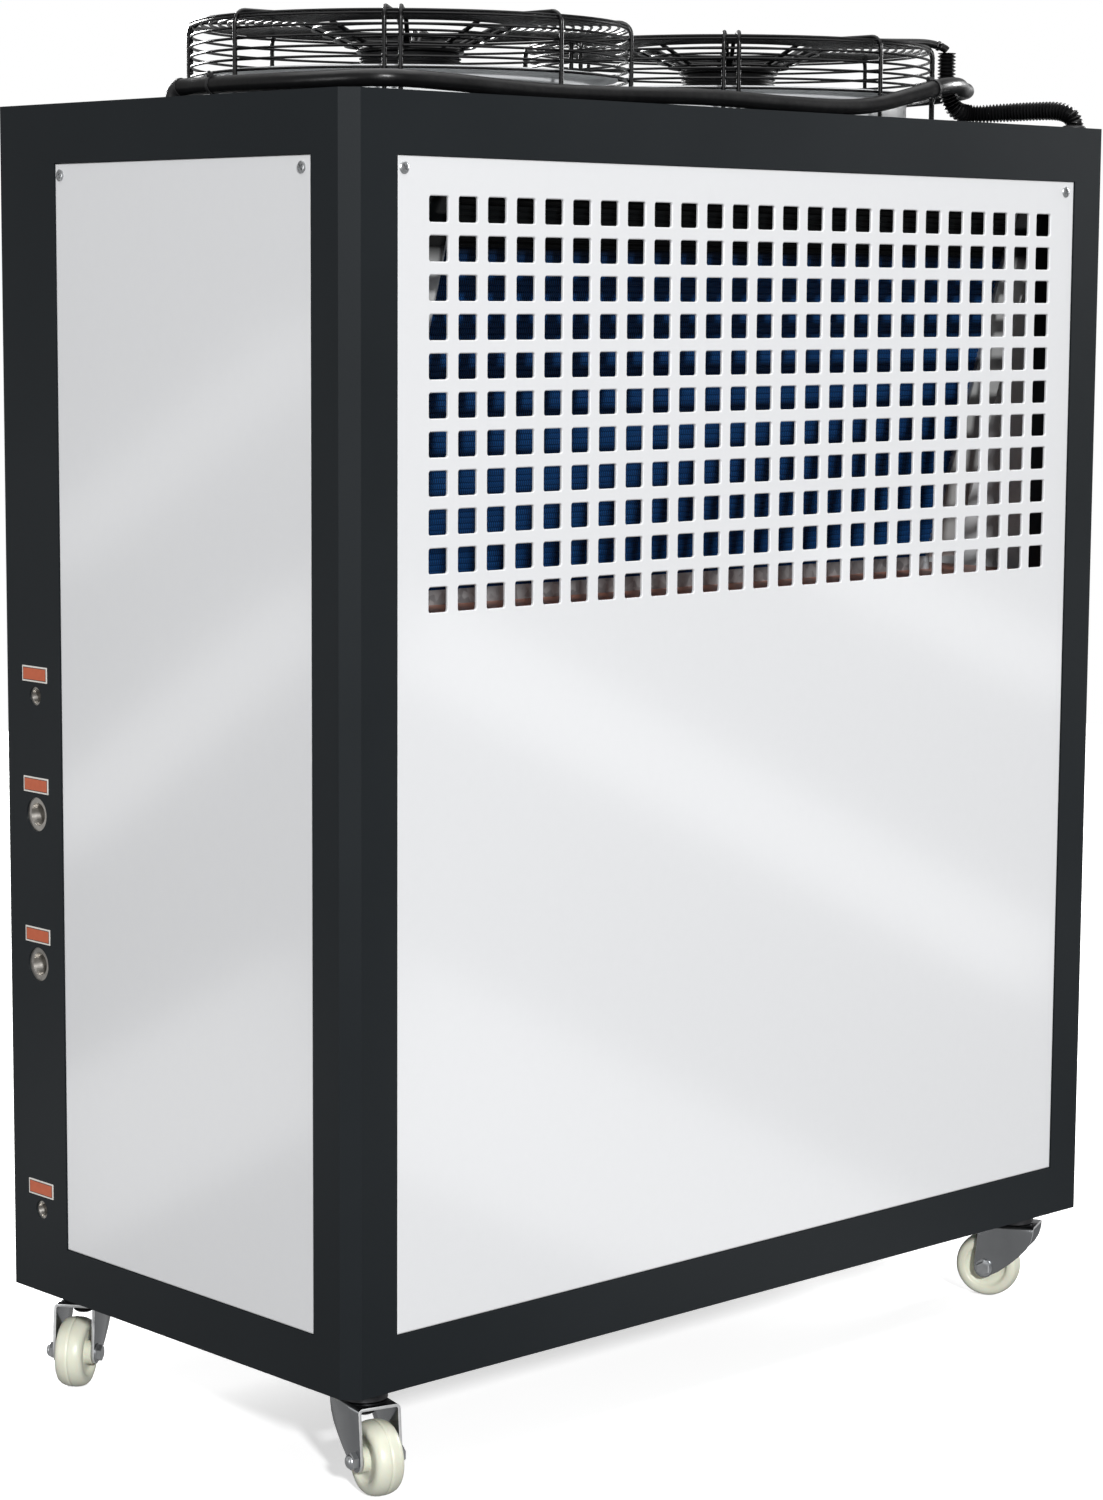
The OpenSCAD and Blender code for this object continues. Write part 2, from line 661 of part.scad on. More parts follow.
// a crowned tread over a web that is set back beside the hub
module caster_wheel() {
  half = wheel_w / 2;
  translate([0, -trail, wheel_r]) rotate([0, 90, 0]) rotate_extrude($fn = 72)
    polygon([[axle_r + running, -hub_half], [13, -hub_half], [13, 5 - half], [wheel_r - 13, 5 - half],
             [wheel_r - 11, -half], [wheel_r - 5, -half], [wheel_r - 1.6, 4 - half], [wheel_r - 0.3, 9 - half],
             [wheel_r, 0], [wheel_r - 0.3, half - 9], [wheel_r - 1.6, half - 4], [wheel_r - 5, half],
             [wheel_r - 11, half], [wheel_r - 13, half - 5], [13, half - 5], [13, hub_half],
             [axle_r + running, hub_half]]);
}

module caster_fork_front_left() { color(zinc) at_caster(-1, -1, turn_front_left) caster_fork(); }
module caster_fork_front_right() { color(zinc) at_caster(1, -1, turn_front_right) caster_fork(); }
module caster_fork_rear_left() { color(zinc) at_caster(-1, 1, turn_rear_left) caster_fork(); }
module caster_fork_rear_right() { color(zinc) at_caster(1, 1, turn_rear_right) caster_fork(); }
module caster_axle_front_left() { color(zinc) at_caster(-1, -1, turn_front_left) caster_axle(); }
module caster_axle_front_right() { color(zinc) at_caster(1, -1, turn_front_right) caster_axle(); }
module caster_axle_rear_left() { color(zinc) at_caster(-1, 1, turn_rear_left) caster_axle(); }
module caster_axle_rear_right() { color(zinc) at_caster(1, 1, turn_rear_right) caster_axle(); }
module caster_wheel_front_left() { color(white) at_caster(-1, -1, turn_front_left) caster_wheel(); }
module caster_wheel_front_right() { color(white) at_caster(1, -1, turn_front_right) caster_wheel(); }
module caster_wheel_rear_left() { color(white) at_caster(-1, 1, turn_rear_left) caster_wheel(); }
module caster_wheel_rear_right() { color(white) at_caster(1, 1, turn_rear_right) caster_wheel(); }

// Nodes

base_tray();
corner_post_front_left();
corner_post_front_right();
corner_post_rear_left();
corner_post_rear_right();
top_rail_front();
top_rail_rear();
top_rail_left();
top_rail_right();
top_deck();
front_panel();
rear_panel();
left_end_panel();
right_end_panel();
fill_port();
water_inlet_port();
water_outlet_port();
drain_port();
port_label_plates();
fan_mouth_left();
fan_mouth_right();
fan_guard_left();
fan_guard_right();
fan_motor_left();
fan_motor_right();
fan_rotor_left();
fan_rotor_right();
coil_front();
coil_rear();
coil_casing_front();
coil_casing_rear();
coil_closing_plates();
coil_drip_pan();
fan_cable_hose();
corrugated_conduit();
motor_cable();
cable_glands();
caster_top_plates();
caster_fork_front_left();
caster_fork_front_right();
caster_fork_rear_left();
caster_fork_rear_right();
caster_axle_front_left();
caster_axle_front_right();
caster_axle_rear_left();
caster_axle_rear_right();
caster_wheel_front_left();
caster_wheel_front_right();
caster_wheel_rear_left();
caster_wheel_rear_right();
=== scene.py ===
"""Looks of an air cooled water chiller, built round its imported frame, in metres."""
import math

import bmesh
import bpy
from mathutils import Matrix, Vector


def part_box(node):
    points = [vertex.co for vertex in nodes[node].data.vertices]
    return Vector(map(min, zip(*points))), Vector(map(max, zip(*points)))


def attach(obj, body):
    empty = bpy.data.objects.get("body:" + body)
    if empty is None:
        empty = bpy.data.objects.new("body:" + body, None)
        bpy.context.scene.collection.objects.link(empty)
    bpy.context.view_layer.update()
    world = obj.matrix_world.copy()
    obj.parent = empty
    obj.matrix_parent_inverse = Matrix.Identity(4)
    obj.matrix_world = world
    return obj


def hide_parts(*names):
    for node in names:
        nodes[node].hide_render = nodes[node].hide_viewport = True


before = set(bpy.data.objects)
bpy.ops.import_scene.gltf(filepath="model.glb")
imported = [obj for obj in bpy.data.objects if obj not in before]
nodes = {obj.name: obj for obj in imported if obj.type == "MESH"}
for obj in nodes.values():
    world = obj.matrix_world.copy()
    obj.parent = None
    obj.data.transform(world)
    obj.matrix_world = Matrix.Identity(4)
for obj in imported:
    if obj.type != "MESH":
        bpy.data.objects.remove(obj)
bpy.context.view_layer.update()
scene = bpy.context.scene

# Studio
# A long lens stands to the left of the near corner, a little below the deck. Soft panels light the object
# in a pale surround, thin strips put slanting streaks in its gloss, and the floor is plain and pale.

MM = 0.001
near_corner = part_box("base_tray")[0]
camera_from_corner = Vector((-2.100, -2.530, 1.064))
camera_yaw = math.radians(43.015)
camera_pitch = math.radians(-7.42)
camera_roll = math.radians(0.353)
film_height_mm = 36
focal_in_film_heights = 3520 / 1500

ahead = Vector((math.sin(camera_yaw) * math.cos(camera_pitch),
                math.cos(camera_yaw) * math.cos(camera_pitch),
                math.sin(camera_pitch)))
level_right = Vector((math.cos(camera_yaw), -math.sin(camera_yaw), 0))
level_up = level_right.cross(ahead)
tilted_right = math.cos(camera_roll) * level_right + math.sin(camera_roll) * level_up
tilted_up = tilted_right.cross(ahead)
camera_data = bpy.data.cameras.new("photo_camera")
camera_data.sensor_fit = "VERTICAL"
camera_data.sensor_height = film_height_mm
camera_data.lens = focal_in_film_heights * film_height_mm
camera_data.clip_end = 100
camera = bpy.data.objects.new("photo_camera", camera_data)
camera.matrix_world = Matrix.Translation(near_corner + camera_from_corner) @ Matrix(
    (tilted_right, tilted_up, -ahead)).transposed().to_4x4()
scene.collection.objects.link(camera)
scene.camera = camera
scene.view_settings.view_transform = "Standard"


def area_light(name, size, power):
    """A rectangular studio light, not yet placed."""
    light = bpy.data.lights.new(name, "AREA")
    light.shape = "RECTANGLE"
    light.size, light.size_y = size
    light.energy = power
    panel = bpy.data.objects.new(name, light)
    scene.collection.objects.link(panel)
    return panel


def soft_panel(name, place, aim, size, power):
    """A soft light at a place, turned toward a point."""
    panel = area_light(name, size, power)
    panel.location = place
    panel.rotation_euler = (Vector(aim) - Vector(place)).to_track_quat("-Z", "Y").to_euler()


soft_panel("key_light", (-8.2, -14.8, 7.1), (0, 0, 0.9), (1.2, 1.2), 3120)
soft_panel("corner_light", (-6.4, -7.2, 1.6), (-0.5, -0.3, 0.9), (1.5, 2.5), 85)
soft_panel("left_light", (-7, 1, 0.9), (0, 0, 0.7), (2, 2), 80)
soft_panel("right_light", (7, -0.6, 2.6), (0, 0, 0.7), (2, 2), 330)
soft_panel("rear_light", (2, 7, 3), (0, 0, 0.7), (2, 2), 400)
soft_panel("top_light", (0, 0, 5), (0, 0, 0), (6, 6), 230)

strip_gap = 0.5
front_face, left_face = Vector((0, -1, 0)), Vector((-1, 0, 0))
front_y, left_x = near_corner.y, near_corner.x


def streak(name, facing, start, end, width, glow):
    """A strip light in front of a face that shows only as a soft streak in its gloss, from start to end."""
    ends = []
    for spot in (Vector(start), Vector(end)):
        sight = spot - camera.matrix_world.translation
        mirrored_sight = sight - 2 * sight.dot(facing) * facing
        ends.append(spot + strip_gap / mirrored_sight.dot(facing) * mirrored_sight)
    length = (ends[1] - ends[0]).length
    along_strip = (ends[1] - ends[0]) / length
    strip = area_light(name, (length, width), glow * math.pi * length * width)
    strip.matrix_world = Matrix.Translation((ends[0] + ends[1]) / 2) @ Matrix(
        (along_strip, facing.cross(along_strip), facing)).transposed().to_4x4()
    strip.visible_camera = False
    strip.visible_diffuse = False


streak("front_streak_middle", front_face, (-0.491, front_y, 0.855), (0.489, front_y, 0.404), 0.11, 1.25)
streak("front_streak_low", front_face, (-0.529, front_y, 0.453), (0.343, front_y, 0.014), 0.24, 1.0)
streak("front_streak_high", front_face, (0.083, front_y, 0.907), (0.531, front_y, 0.732), 0.09, 1.1)
streak("left_streak_middle", left_face, (left_x, 0.21, 0.601), (left_x, -0.25, 0.884), 0.1, 1.3)
streak("left_streak_low", left_face, (left_x, 0.218, 0.236), (left_x, -0.248, 0.473), 0.22, 1.0)
streak("left_streak_high", left_face, (left_x, 0.204, 0.897), (left_x, -0.25, 1.134), 0.09, 0.9)


class Signal:
    """An output of a node tree. Arithmetic on it adds Math nodes to the tree."""

    def __init__(self, net, socket):
        self.net = net
        self.socket = socket

    def _math(self, operation, first, second):
        return self.net.add("ShaderNodeMath", {"operation": operation}, {0: first, 1: second})

    def __add__(self, other):
        return self._math("ADD", self, other)

    def __radd__(self, other):
        return self._math("ADD", other, self)

    def __mul__(self, other):
        return self._math("MULTIPLY", self, other)

    def __rmul__(self, other):
        return self._math("MULTIPLY", other, self)

    def __truediv__(self, other):
        return self._math("DIVIDE", self, other)

    def __rtruediv__(self, other):
        return self._math("DIVIDE", other, self)

    def __gt__(self, other):
        return self._math("GREATER_THAN", self, other)

    def __mod__(self, other):
        return self._math("FLOORED_MODULO", self, other)


class Net:
    """A node tree of a material or of repeated geometry."""

    def __init__(self, tree):
        self.tree = tree

    def add(self, kind, settings=None, inputs=None, out=0):
        """Makes any node: its settings first, then values or links, and gives back one output."""
        node = self.tree.nodes.new(kind)
        for name, value in (settings or {}).items():
            setattr(node, name, value)
        for key, value in (inputs or {}).items():
            self.feed(node, key, value)
        return Signal(self, node.outputs[out]) if len(node.outputs) else node

    def feed(self, node, key, value):
        """Sets one socket of a node to a value, or links it to a signal."""
        if isinstance(value, Signal):
            self.tree.links.new(value.socket, node.inputs[key])
        else:
            node.inputs[key].default_value = value

    def mix(self, share, low, high):
        """A colour between two colours."""
        return self.add("ShaderNodeMix", {"data_type": "RGBA"}, {0: share, 6: low, 7: high}, 2)

    def noise(self, scale, detail):
        """Noise on the piece's own coordinates, in metres times scale."""
        return self.add("ShaderNodeTexNoise", None, {
            "Vector": self.place(), "Scale": scale, "Detail": detail}, "Fac")

    def place(self):
        return self.add("ShaderNodeTexCoord", None, None, "Object")

    def along(self, axis):
        """One coordinate of the piece: X, Y or Z in metres."""
        return self.add("ShaderNodeSeparateXYZ", None, {"Vector": self.place()}, axis)


def paint(red, green, blue):
    """A colour given as it looks on a screen, 0 to 255, turned to light values."""
    def linear(value):
        share = value / 255
        return share / 12.92 if share <= 0.04045 else ((share + 0.055) / 1.055) ** 2.4
    return (linear(red), linear(green), linear(blue), 1)


class Finish:
    """A material with one principled shader, whose fixed values are set on the shader itself."""

    def __init__(self, name, **fixed):
        self.material = bpy.data.materials.new(name)
        self.material.use_nodes = True
        self.net = Net(self.material.node_tree)
        self.shader = self.material.node_tree.nodes["Principled BSDF"]
        for key, value in fixed.items():
            self.shader.inputs[key.replace("_", " ")].default_value = value

    def set(self, key, signal):
        self.net.feed(self.shader, key, signal)

    def mottle(self, scale, detail, low, high, rough=None):
        """Soft patches between two screen colours. Roughness starts at a value and grows with the patches."""
        patches = self.net.noise(scale, detail)
        self.set("Base Color", self.net.mix(patches, paint(*low), paint(*high)))
        if rough:
            start, growth = rough
            self.set("Roughness", start + patches * growth)

    def bump(self, height, depth):
        """Relief whose height signal of 0 to 1 stands for a depth in metres."""
        self.set("Normal", self.net.add("ShaderNodeBump", None, {"Height": height, "Distance": depth}))

    def grain(self, scale, detail, depth):
        """Relief of plain noise."""
        self.bump(self.net.noise(scale, detail), depth)

    def dress(self, *names):
        """Puts this finish on carried-over solids."""
        for name in names:
            mesh = nodes[name].data
            mesh.materials.clear()
            mesh.materials.append(self.material)


backdrop_light = 1.0
fill_light = 0.1
mirrored_light = 0.35
world = bpy.data.worlds.new("studio")
world.use_nodes = True
air = Net(world.node_tree)
seen = air.add("ShaderNodeLightPath", None, None, "Is Camera Ray")
mirrored = air.add("ShaderNodeLightPath", None, None, "Is Glossy Ray")
background = world.node_tree.nodes["Background"]
air.feed(background, "Color", (1, 1, 1, 1))
air.feed(background, "Strength", fill_light + seen * (backdrop_light - fill_light)
         + mirrored * (mirrored_light - fill_light))
scene.world = world

pale = Finish("pale_floor", Roughness=0.6, Emission_Color=(1, 1, 1, 1), Emission_Strength=0.6)
pale.mottle(1.5, 3, (244, 244, 244), (248, 248, 248))


def raw_mesh(name, points, edges, faces):
    """A mesh of points, edges and faces as they are given."""
    mesh = bpy.data.meshes.new(name)
    mesh.from_pydata([tuple(p) for p in points], edges, faces)
    return mesh


floor_reach = 5
floor_data = raw_mesh("floor", [(x * floor_reach, y * floor_reach, 0) for x, y in (
    (-1, -1), (1, -1), (1, 1), (-1, 1))], [], [(0, 1, 2, 3)])
floor_data.materials.append(pale.material)
floor = bpy.data.objects.new("floor", floor_data)
scene.collection.objects.link(floor)
floor.visible_diffuse = False
floor.visible_glossy = False

# Cabinet frame
# Folded sheet steel posts and rails with a chamfered outer corner, welded to a base tray and coated
# with a satin charcoal powder. The deck lies in a rebate of the rails.

charcoal = Finish("charcoal_powder_coat", Specular_IOR_Level=0.15)
charcoal.mottle(6, 4, (22, 26, 29), (28, 32, 35), (0.38, 0.1))
charcoal.grain(900, 2, 0.06 * MM)
charcoal.dress("base_tray", "corner_post_front_left", "corner_post_front_right", "corner_post_rear_left",
               "corner_post_rear_right", "top_rail_front", "top_rail_rear", "top_rail_left",
               "top_rail_right", "top_deck")

# White panels
# Painted sheets with a high gloss that hang in the frame's rebates. The two long ones are pierced by
# square holes with small round corners, and every edge is slightly rounded by the punch and the paint.

gloss_white = Finish("glossy_white_paint", Coat_Weight=0.6, Coat_Roughness=0.15)
gloss_white.mottle(90, 2, (222, 223, 225), (224, 225, 227), (0.19, 0.04))
gloss_white.grain(160, 2, 0.004 * MM)

panel_slit = 0.3 * MM
panel_round = 2 * MM
hole_edge = 0.9 * MM
grille_columns, grille_rows = 25, 11
grille_pitch = Vector((37.3 * MM, 37 * MM))
hole_half = Vector((12 * MM, 12.25 * MM))
hole_round = 2.5 * MM
hole_corner_steps = 4
first_row_below_top = 37 * MM
double_gap = 0.001 * MM
cell_gap = 0.01 * MM


def piece(name, mesh, finish, body="cabinet", replaced=()):
    """Puts a finished mesh into the scene on a body, in place of the solids that it stands for."""
    thing = bpy.data.objects.new(name, mesh)
    scene.collection.objects.link(thing)
    if finish:
        mesh.materials.clear()
        mesh.materials.append(finish.material)
    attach(thing, body)
    if replaced:
        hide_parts(*replaced)
    return thing


def plain_mesh(name, points, faces):
    """A mesh from points and faces, with doubles merged and faces turned outward."""
    mesh = raw_mesh(name, points, [], faces)
    outward(mesh)
    return mesh


def outward(mesh):
    """Merges doubles and turns the faces of a closed mesh outward."""
    work = bmesh.new()
    work.from_mesh(mesh)
    bmesh.ops.remove_doubles(work, verts=work.verts, dist=double_gap)
    bmesh.ops.recalc_face_normals(work, faces=work.faces)
    work.to_mesh(mesh)
    work.free()


def geometry_net(name, inputs):
    """A new geometry tree with named inputs: gives the net and its input signals."""
    tree = bpy.data.node_groups.new(name, "GeometryNodeTree")
    for title, kind in inputs.items():
        tree.interface.new_socket(name=title, in_out="INPUT", socket_type=kind)
    tree.interface.new_socket(name="Geometry", in_out="OUTPUT", socket_type="NodeSocketGeometry")
    net = Net(tree)
    start = tree.nodes.new("NodeGroupInput")
    return net, {socket.name: Signal(net, socket) for socket in start.outputs if socket.name}


def finish_tree(net, geometry, finish):
    """Gives what a geometry tree has made its finish, and hands it out."""
    net.add("NodeGroupOutput", None, {0: net.add("GeometryNodeSetMaterial", None, {
        "Geometry": geometry, "Material": finish.material})})


def grown_mesh(name, base, net, values):
    """Runs a geometry tree on a base mesh and gives back the plain mesh that it makes."""
    holder = helper_object(name, base)
    modifier = holder.modifiers.new("grow", "NODES")
    modifier.node_group = net.tree
    for socket in net.tree.interface.items_tree:
        if socket.in_out == "INPUT" and socket.name in values:
            modifier[socket.identifier] = values[socket.name]
    return taken_mesh(holder, name)


def helper_object(name, mesh):
    """An object that only carries a mesh for a modifier or a tree, and is removed afterwards."""
    helper = bpy.data.objects.new(name, mesh)
    scene.collection.objects.link(helper)
    return helper


def taken_mesh(holder, name):
    """The plain mesh that an object's modifiers make. The object is removed."""
    mesh = bpy.data.meshes.new_from_object(holder.evaluated_get(bpy.context.evaluated_depsgraph_get()))
    mesh.name = name
    bpy.data.objects.remove(holder)
    return mesh


def hole_outline(grow):
    """Corner by corner, the points of a grille hole's edge, widened by a margin."""
    corners = []
    for quarter in range(4):
        side_x = 1 if quarter in (0, 3) else -1
        side_z = 1 if quarter < 2 else -1
        points = []
        for step in range(hole_corner_steps + 1):
            turn = math.radians(90 * (quarter + step / hole_corner_steps))
            reach = hole_round + grow
            points.append((side_x * (hole_half.x - hole_round) + reach * math.cos(turn),
                           side_z * (hole_half.y - hole_round) + reach * math.sin(turn)))
        corners.append(points)
    return corners


def grille_cell(thickness):
    """One square of the grille with its hole: front, rounded edge, wall and back."""
    points = []
    faces = []
    middle = hole_corner_steps // 2

    def loop(corners, depth):
        first = len(points)
        points.extend((x, depth, z) for corner in corners for x, z in corner)
        return first

    def square(depth):
        half = grille_pitch / 2
        first = len(points)
        points.extend((x * half.x, depth, z * half.y) for x, z in ((1, 1), (-1, 1), (-1, -1), (1, -1)))
        return first

    per_corner = hole_corner_steps + 1
    count = 4 * per_corner
    front_edge = loop(hole_outline(hole_edge), 0)
    wall_front = loop(hole_outline(0), hole_edge)
    wall_back = loop(hole_outline(0), thickness)
    for outer, inner in ((square(0), front_edge), (square(thickness), wall_back)):
        for quarter in range(4):
            following = (quarter + 1) % 4
            back_along = [inner + following * per_corner + k for k in range(middle, -1, -1)]
            back_along += [inner + quarter * per_corner + k for k in range(hole_corner_steps, middle - 1, -1)]
            faces.append([outer + quarter, outer + following] + back_along)
    for near, far in ((front_edge, wall_front), (wall_front, wall_back)):
        for k in range(count):
            after = (k + 1) % count
            faces.append((near + k, near + after, far + after, far + k))
    return raw_mesh("grille_cell", points, [], faces)


def sheet_border(lines_x, lines_z, thickness):
    """A sheet with rounded outer edges over a grid of lines, open where the grille's cells go."""
    points = []
    faces = []
    last_x, last_z = len(lines_x) - 1, len(lines_z) - 1

    def inset(lines, index, depth):
        return lines[index] + (depth if index == 0 else -depth if index == len(lines) - 1 else 0)

    def layer(make):
        first = len(points)
        points.extend(make(i, j) for i in range(last_x + 1) for j in range(last_z + 1))
        return lambda i, j: first + i * (last_z + 1) + j

    def rounded(turn):
        depth = panel_round * (1 - math.sin(turn))
        sunk = panel_round * (1 - math.cos(turn))
        return lambda i, j: (inset(lines_x, i, depth), sunk, inset(lines_z, j, depth))

    rims = [layer(rounded(math.radians(angle))) for angle in (0, 30, 60, 90)]
    front = rims[0]
    back = layer(lambda i, j: (lines_x[i], thickness, lines_z[j]))
    for i in range(last_x):
        for j in range(last_z):
            if last_x > 1 and 0 < i < last_x - 1 and 0 < j < last_z - 1:
                continue
            for at in (front, back):
                faces.append((at(i, j), at(i + 1, j), at(i + 1, j + 1), at(i, j + 1)))
    around = [(i, 0) for i in range(last_x)] + [(last_x, j) for j in range(last_z)]
    around += [(i, last_z) for i in range(last_x, 0, -1)] + [(0, j) for j in range(last_z, 0, -1)]
    for here, there in zip(around, around[1:] + around[:1]):
        for near, far in zip(rims, rims[1:] + [back]):
            faces.append((near(*here), near(*there), far(*there), far(*here)))
    return raw_mesh("sheet_border", points, [], faces)


grille_net, given = geometry_net("grille_holes", {
    "Geometry": "NodeSocketGeometry", "Cell": "NodeSocketObject", "Columns": "NodeSocketInt",
    "Rows": "NodeSocketInt", "Width": "NodeSocketFloat", "Height": "NodeSocketFloat",
    "Middle": "NodeSocketVector"})
spots = grille_net.add("GeometryNodeMeshGrid", None, {
    "Size X": given["Width"], "Size Y": given["Height"], "Vertices X": given["Columns"],
    "Vertices Y": given["Rows"]})
upright = grille_net.add("GeometryNodeTransform", None, {
    "Geometry": spots, "Translation": given["Middle"], "Rotation": (math.pi / 2, 0, 0)})
cell = grille_net.add("GeometryNodeObjectInfo", None, {"Object": given["Cell"]}, "Geometry")
cells = grille_net.add("GeometryNodeInstanceOnPoints", None, {"Points": upright, "Instance": cell})
whole = grille_net.add("GeometryNodeJoinGeometry", None, {"Geometry": given["Geometry"]})
grille_net.tree.links.new(grille_net.add("GeometryNodeRealizeInstances", None, {0: cells}).socket,
                          whole.socket.node.inputs["Geometry"])
closed = grille_net.add("GeometryNodeMergeByDistance", None, {"Geometry": whole, "Distance": cell_gap})
finish_tree(grille_net, closed, gloss_white)


def white_panel(node, turn):
    """Stands for one panel solid: its outer face is drawn toward -Y and then turned round Z."""
    low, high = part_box(node)
    along_x = turn % 180 == 0
    wide = (high - low).x if along_x else (high - low).y
    thick = (high - low).y if along_x else (high - low).x
    tall = high.z - low.z
    if not along_x:
        mesh = sheet_border([-wide / 2, wide / 2], [-tall / 2, tall / 2], thick)
    else:
        top_line = tall / 2 + panel_slit - first_row_below_top - hole_half.y + grille_pitch.y / 2
        lines_x = [(i - grille_columns / 2) * grille_pitch.x for i in range(grille_columns + 1)]
        lines_z = [top_line - (grille_rows - j) * grille_pitch.y for j in range(grille_rows + 1)]
        border = sheet_border([-wide / 2] + lines_x + [wide / 2], [-tall / 2] + lines_z + [tall / 2], thick)
        source = helper_object("grille_cell", grille_cell(thick))
        mesh = grown_mesh(node + "_sheet", border, grille_net, {
            "Cell": source, "Columns": grille_columns, "Rows": grille_rows,
            "Width": (grille_columns - 1) * grille_pitch.x, "Height": (grille_rows - 1) * grille_pitch.y,
            "Middle": (0, 0, top_line - grille_rows * grille_pitch.y / 2)})
        bpy.data.objects.remove(source)
    outward(mesh)
    middle = (low + high) / 2
    mesh.transform(Matrix.Translation(middle) @ Matrix.Rotation(math.radians(turn), 4, "Z")
                   @ Matrix.Translation((0, -thick / 2, 0)))
    piece(node + "_sheet", mesh, gloss_white, replaced=(node,))


white_panel("front_panel", 0)
white_panel("rear_panel", 180)
white_panel("left_end_panel", -90)
white_panel("right_end_panel", 90)

# Panel screws
# Each panel hangs on two zinc plated pan head screws with a cross recess, close to its upper corners.
# They were turned in by hand, so no two recesses point the same way.

zinc_bright = Finish("bright_zinc_plating", Metallic=0.9)
zinc_bright.mottle(120, 3, (150, 152, 154), (196, 198, 200), (0.26, 0.14))
zinc_bright.grain(900, 2, 0.03 * MM)

screw_r = 6 * MM
screw_h = 1.9 * MM
screw_in = 11.6 * MM
screw_foot = 0.5 * MM
hand_seed = 4


def smooth(mesh, angle=32):
    """Shades a mesh smoothly, except at edges sharper than an angle in degrees."""
    mesh.shade_smooth()
    mesh.set_sharp_from_angle(angle=math.radians(angle))
    return mesh


def lathe(name, outline, steps):
    """Turns a closed outline of (radius, height) points round Z."""
    points = []
    faces = []
    count = len(outline)
    for step in range(steps):
        turn = 2 * math.pi * step / steps
        points += [(r * math.cos(turn), r * math.sin(turn), z) for r, z in outline]
    for step in range(steps):
        here, there = step * count, (step + 1) % steps * count
        for i in range(count):
            j = (i + 1) % count
            faces.append((here + i, there + i, there + j, here + j))
    return smooth(plain_mesh(name, points, faces))


def block(low, high):
    """The points and faces of a box between two corners."""
    points = [(x, y, z) for x in (low[0], high[0]) for y in (low[1], high[1]) for z in (low[2], high[2])]
    return points, [(0, 1, 3, 2), (4, 6, 7, 5), (0, 4, 5, 1), (2, 3, 7, 6), (0, 2, 6, 4), (1, 5, 7, 3)]


def finished(mesh, kind, **settings):
    """A mesh after one modifier of a kind."""
    holder = helper_object(mesh.name, mesh)
    modifier = holder.modifiers.new("finish", kind)
    for key, value in settings.items():
        setattr(modifier, key, value)
    return taken_mesh(holder, mesh.name)


def cut(mesh, tool, operation):
    """A mesh after a boolean cut by another one."""
    cutter = helper_object("cutter", tool)
    result = finished(mesh, "BOOLEAN", operation=operation, object=cutter)
    bpy.data.objects.remove(cutter)
    return result


def screw_head():
    """A low domed head with a cross recess, whose axis is Z."""
    head = lathe("screw_head", [(0, -screw_foot), (screw_r, -screw_foot), (screw_r, 0.3 * screw_h),
                                (0.86 * screw_r, 0.7 * screw_h), (0.6 * screw_r, 0.93 * screw_h),
                                (0, screw_h)], 20)
    for x, y in ((0.62 * screw_r, 0.12 * screw_r), (0.12 * screw_r, 0.62 * screw_r)):
        recess = plain_mesh("recess", *block((-x, -y, 0.3 * screw_h), (x, y, 2 * screw_h)))
        head = cut(head, recess, "DIFFERENCE")
    return head


screw_net, given = geometry_net("panel_screws", {
    "Geometry": "NodeSocketGeometry", "Head": "NodeSocketObject", "Facing": "NodeSocketRotation",
    "Rise": "NodeSocketFloat", "Seed": "NodeSocketInt"})
head = screw_net.add("GeometryNodeObjectInfo", None, {"Object": given["Head"]}, "Geometry")
set_in = screw_net.add("GeometryNodeInstanceOnPoints", None, {
    "Points": given["Geometry"], "Instance": head, "Rotation": given["Facing"],
    "Scale": screw_net.add("ShaderNodeCombineXYZ", None, {"X": 1.0, "Y": 1.0, "Z": given["Rise"]})})
hand_turn = screw_net.add("FunctionNodeRandomValue", {"data_type": "FLOAT"}, {
    "Min": 0.0, "Max": math.pi, "Seed": given["Seed"]}, 1)
about_axis = screw_net.add("ShaderNodeCombineXYZ", None, {"Z": hand_turn})
turned = screw_net.add("GeometryNodeRotateInstances", None, {"Instances": set_in, "Rotation": about_axis})
plain = screw_net.add("GeometryNodeRealizeInstances", None, {0: turned})
finish_tree(screw_net, plain, zinc_bright)

screw_source = helper_object("screw_head", screw_head())
for name, facing, shift, rise in (
        ("front_panel", front_face, -3.2 * MM, 1.0), ("rear_panel", Vector((0, 1, 0)), 0, 1.0),
        ("left_end_panel", left_face, 2.4 * MM, 1.0), ("right_end_panel", Vector((1, 0, 0)), 0, 0.5)):
    low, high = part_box(name)
    outer = [high[i] if facing[i] > 0 else low[i] for i in range(3)]
    level = high.z - screw_in
    if facing.y:
        spots = [(low.x + screw_in + shift, outer[1], level), (high.x - screw_in + shift, outer[1], level)]
    else:
        spots = [(outer[0], low.y + screw_in + shift, level), (outer[0], high.y - screw_in + shift, level)]
    screws = grown_mesh(name + "_screws", raw_mesh("screw_spots", spots, [], []), screw_net, {
        "Head": screw_source, "Facing": facing.to_track_quat("Z", "Y").to_euler(), "Rise": rise,
        "Seed": hand_seed})
    piece(name + "_screws", screws, None)
bpy.data.objects.remove(screw_source)

# Condenser
# Two finned coils lean together at the bottom. Their blue coated fins are pressed with level waves, and
# each coil sits in a galvanised casing that stands on a pan. Near the upper edge they are painted near black
# as painted shade.

coil_lean = math.radians(17)
coil_t = 44 * MM
wave_pitch = 6.2 * MM
wave_depth = 1.3 * MM
fin_pitch = 2.8 * MM
fin_gap_share = 0.42
fin_relief = 0.6 * MM
top_shade_h, top_shade_fade = 97 * MM, 22 * MM

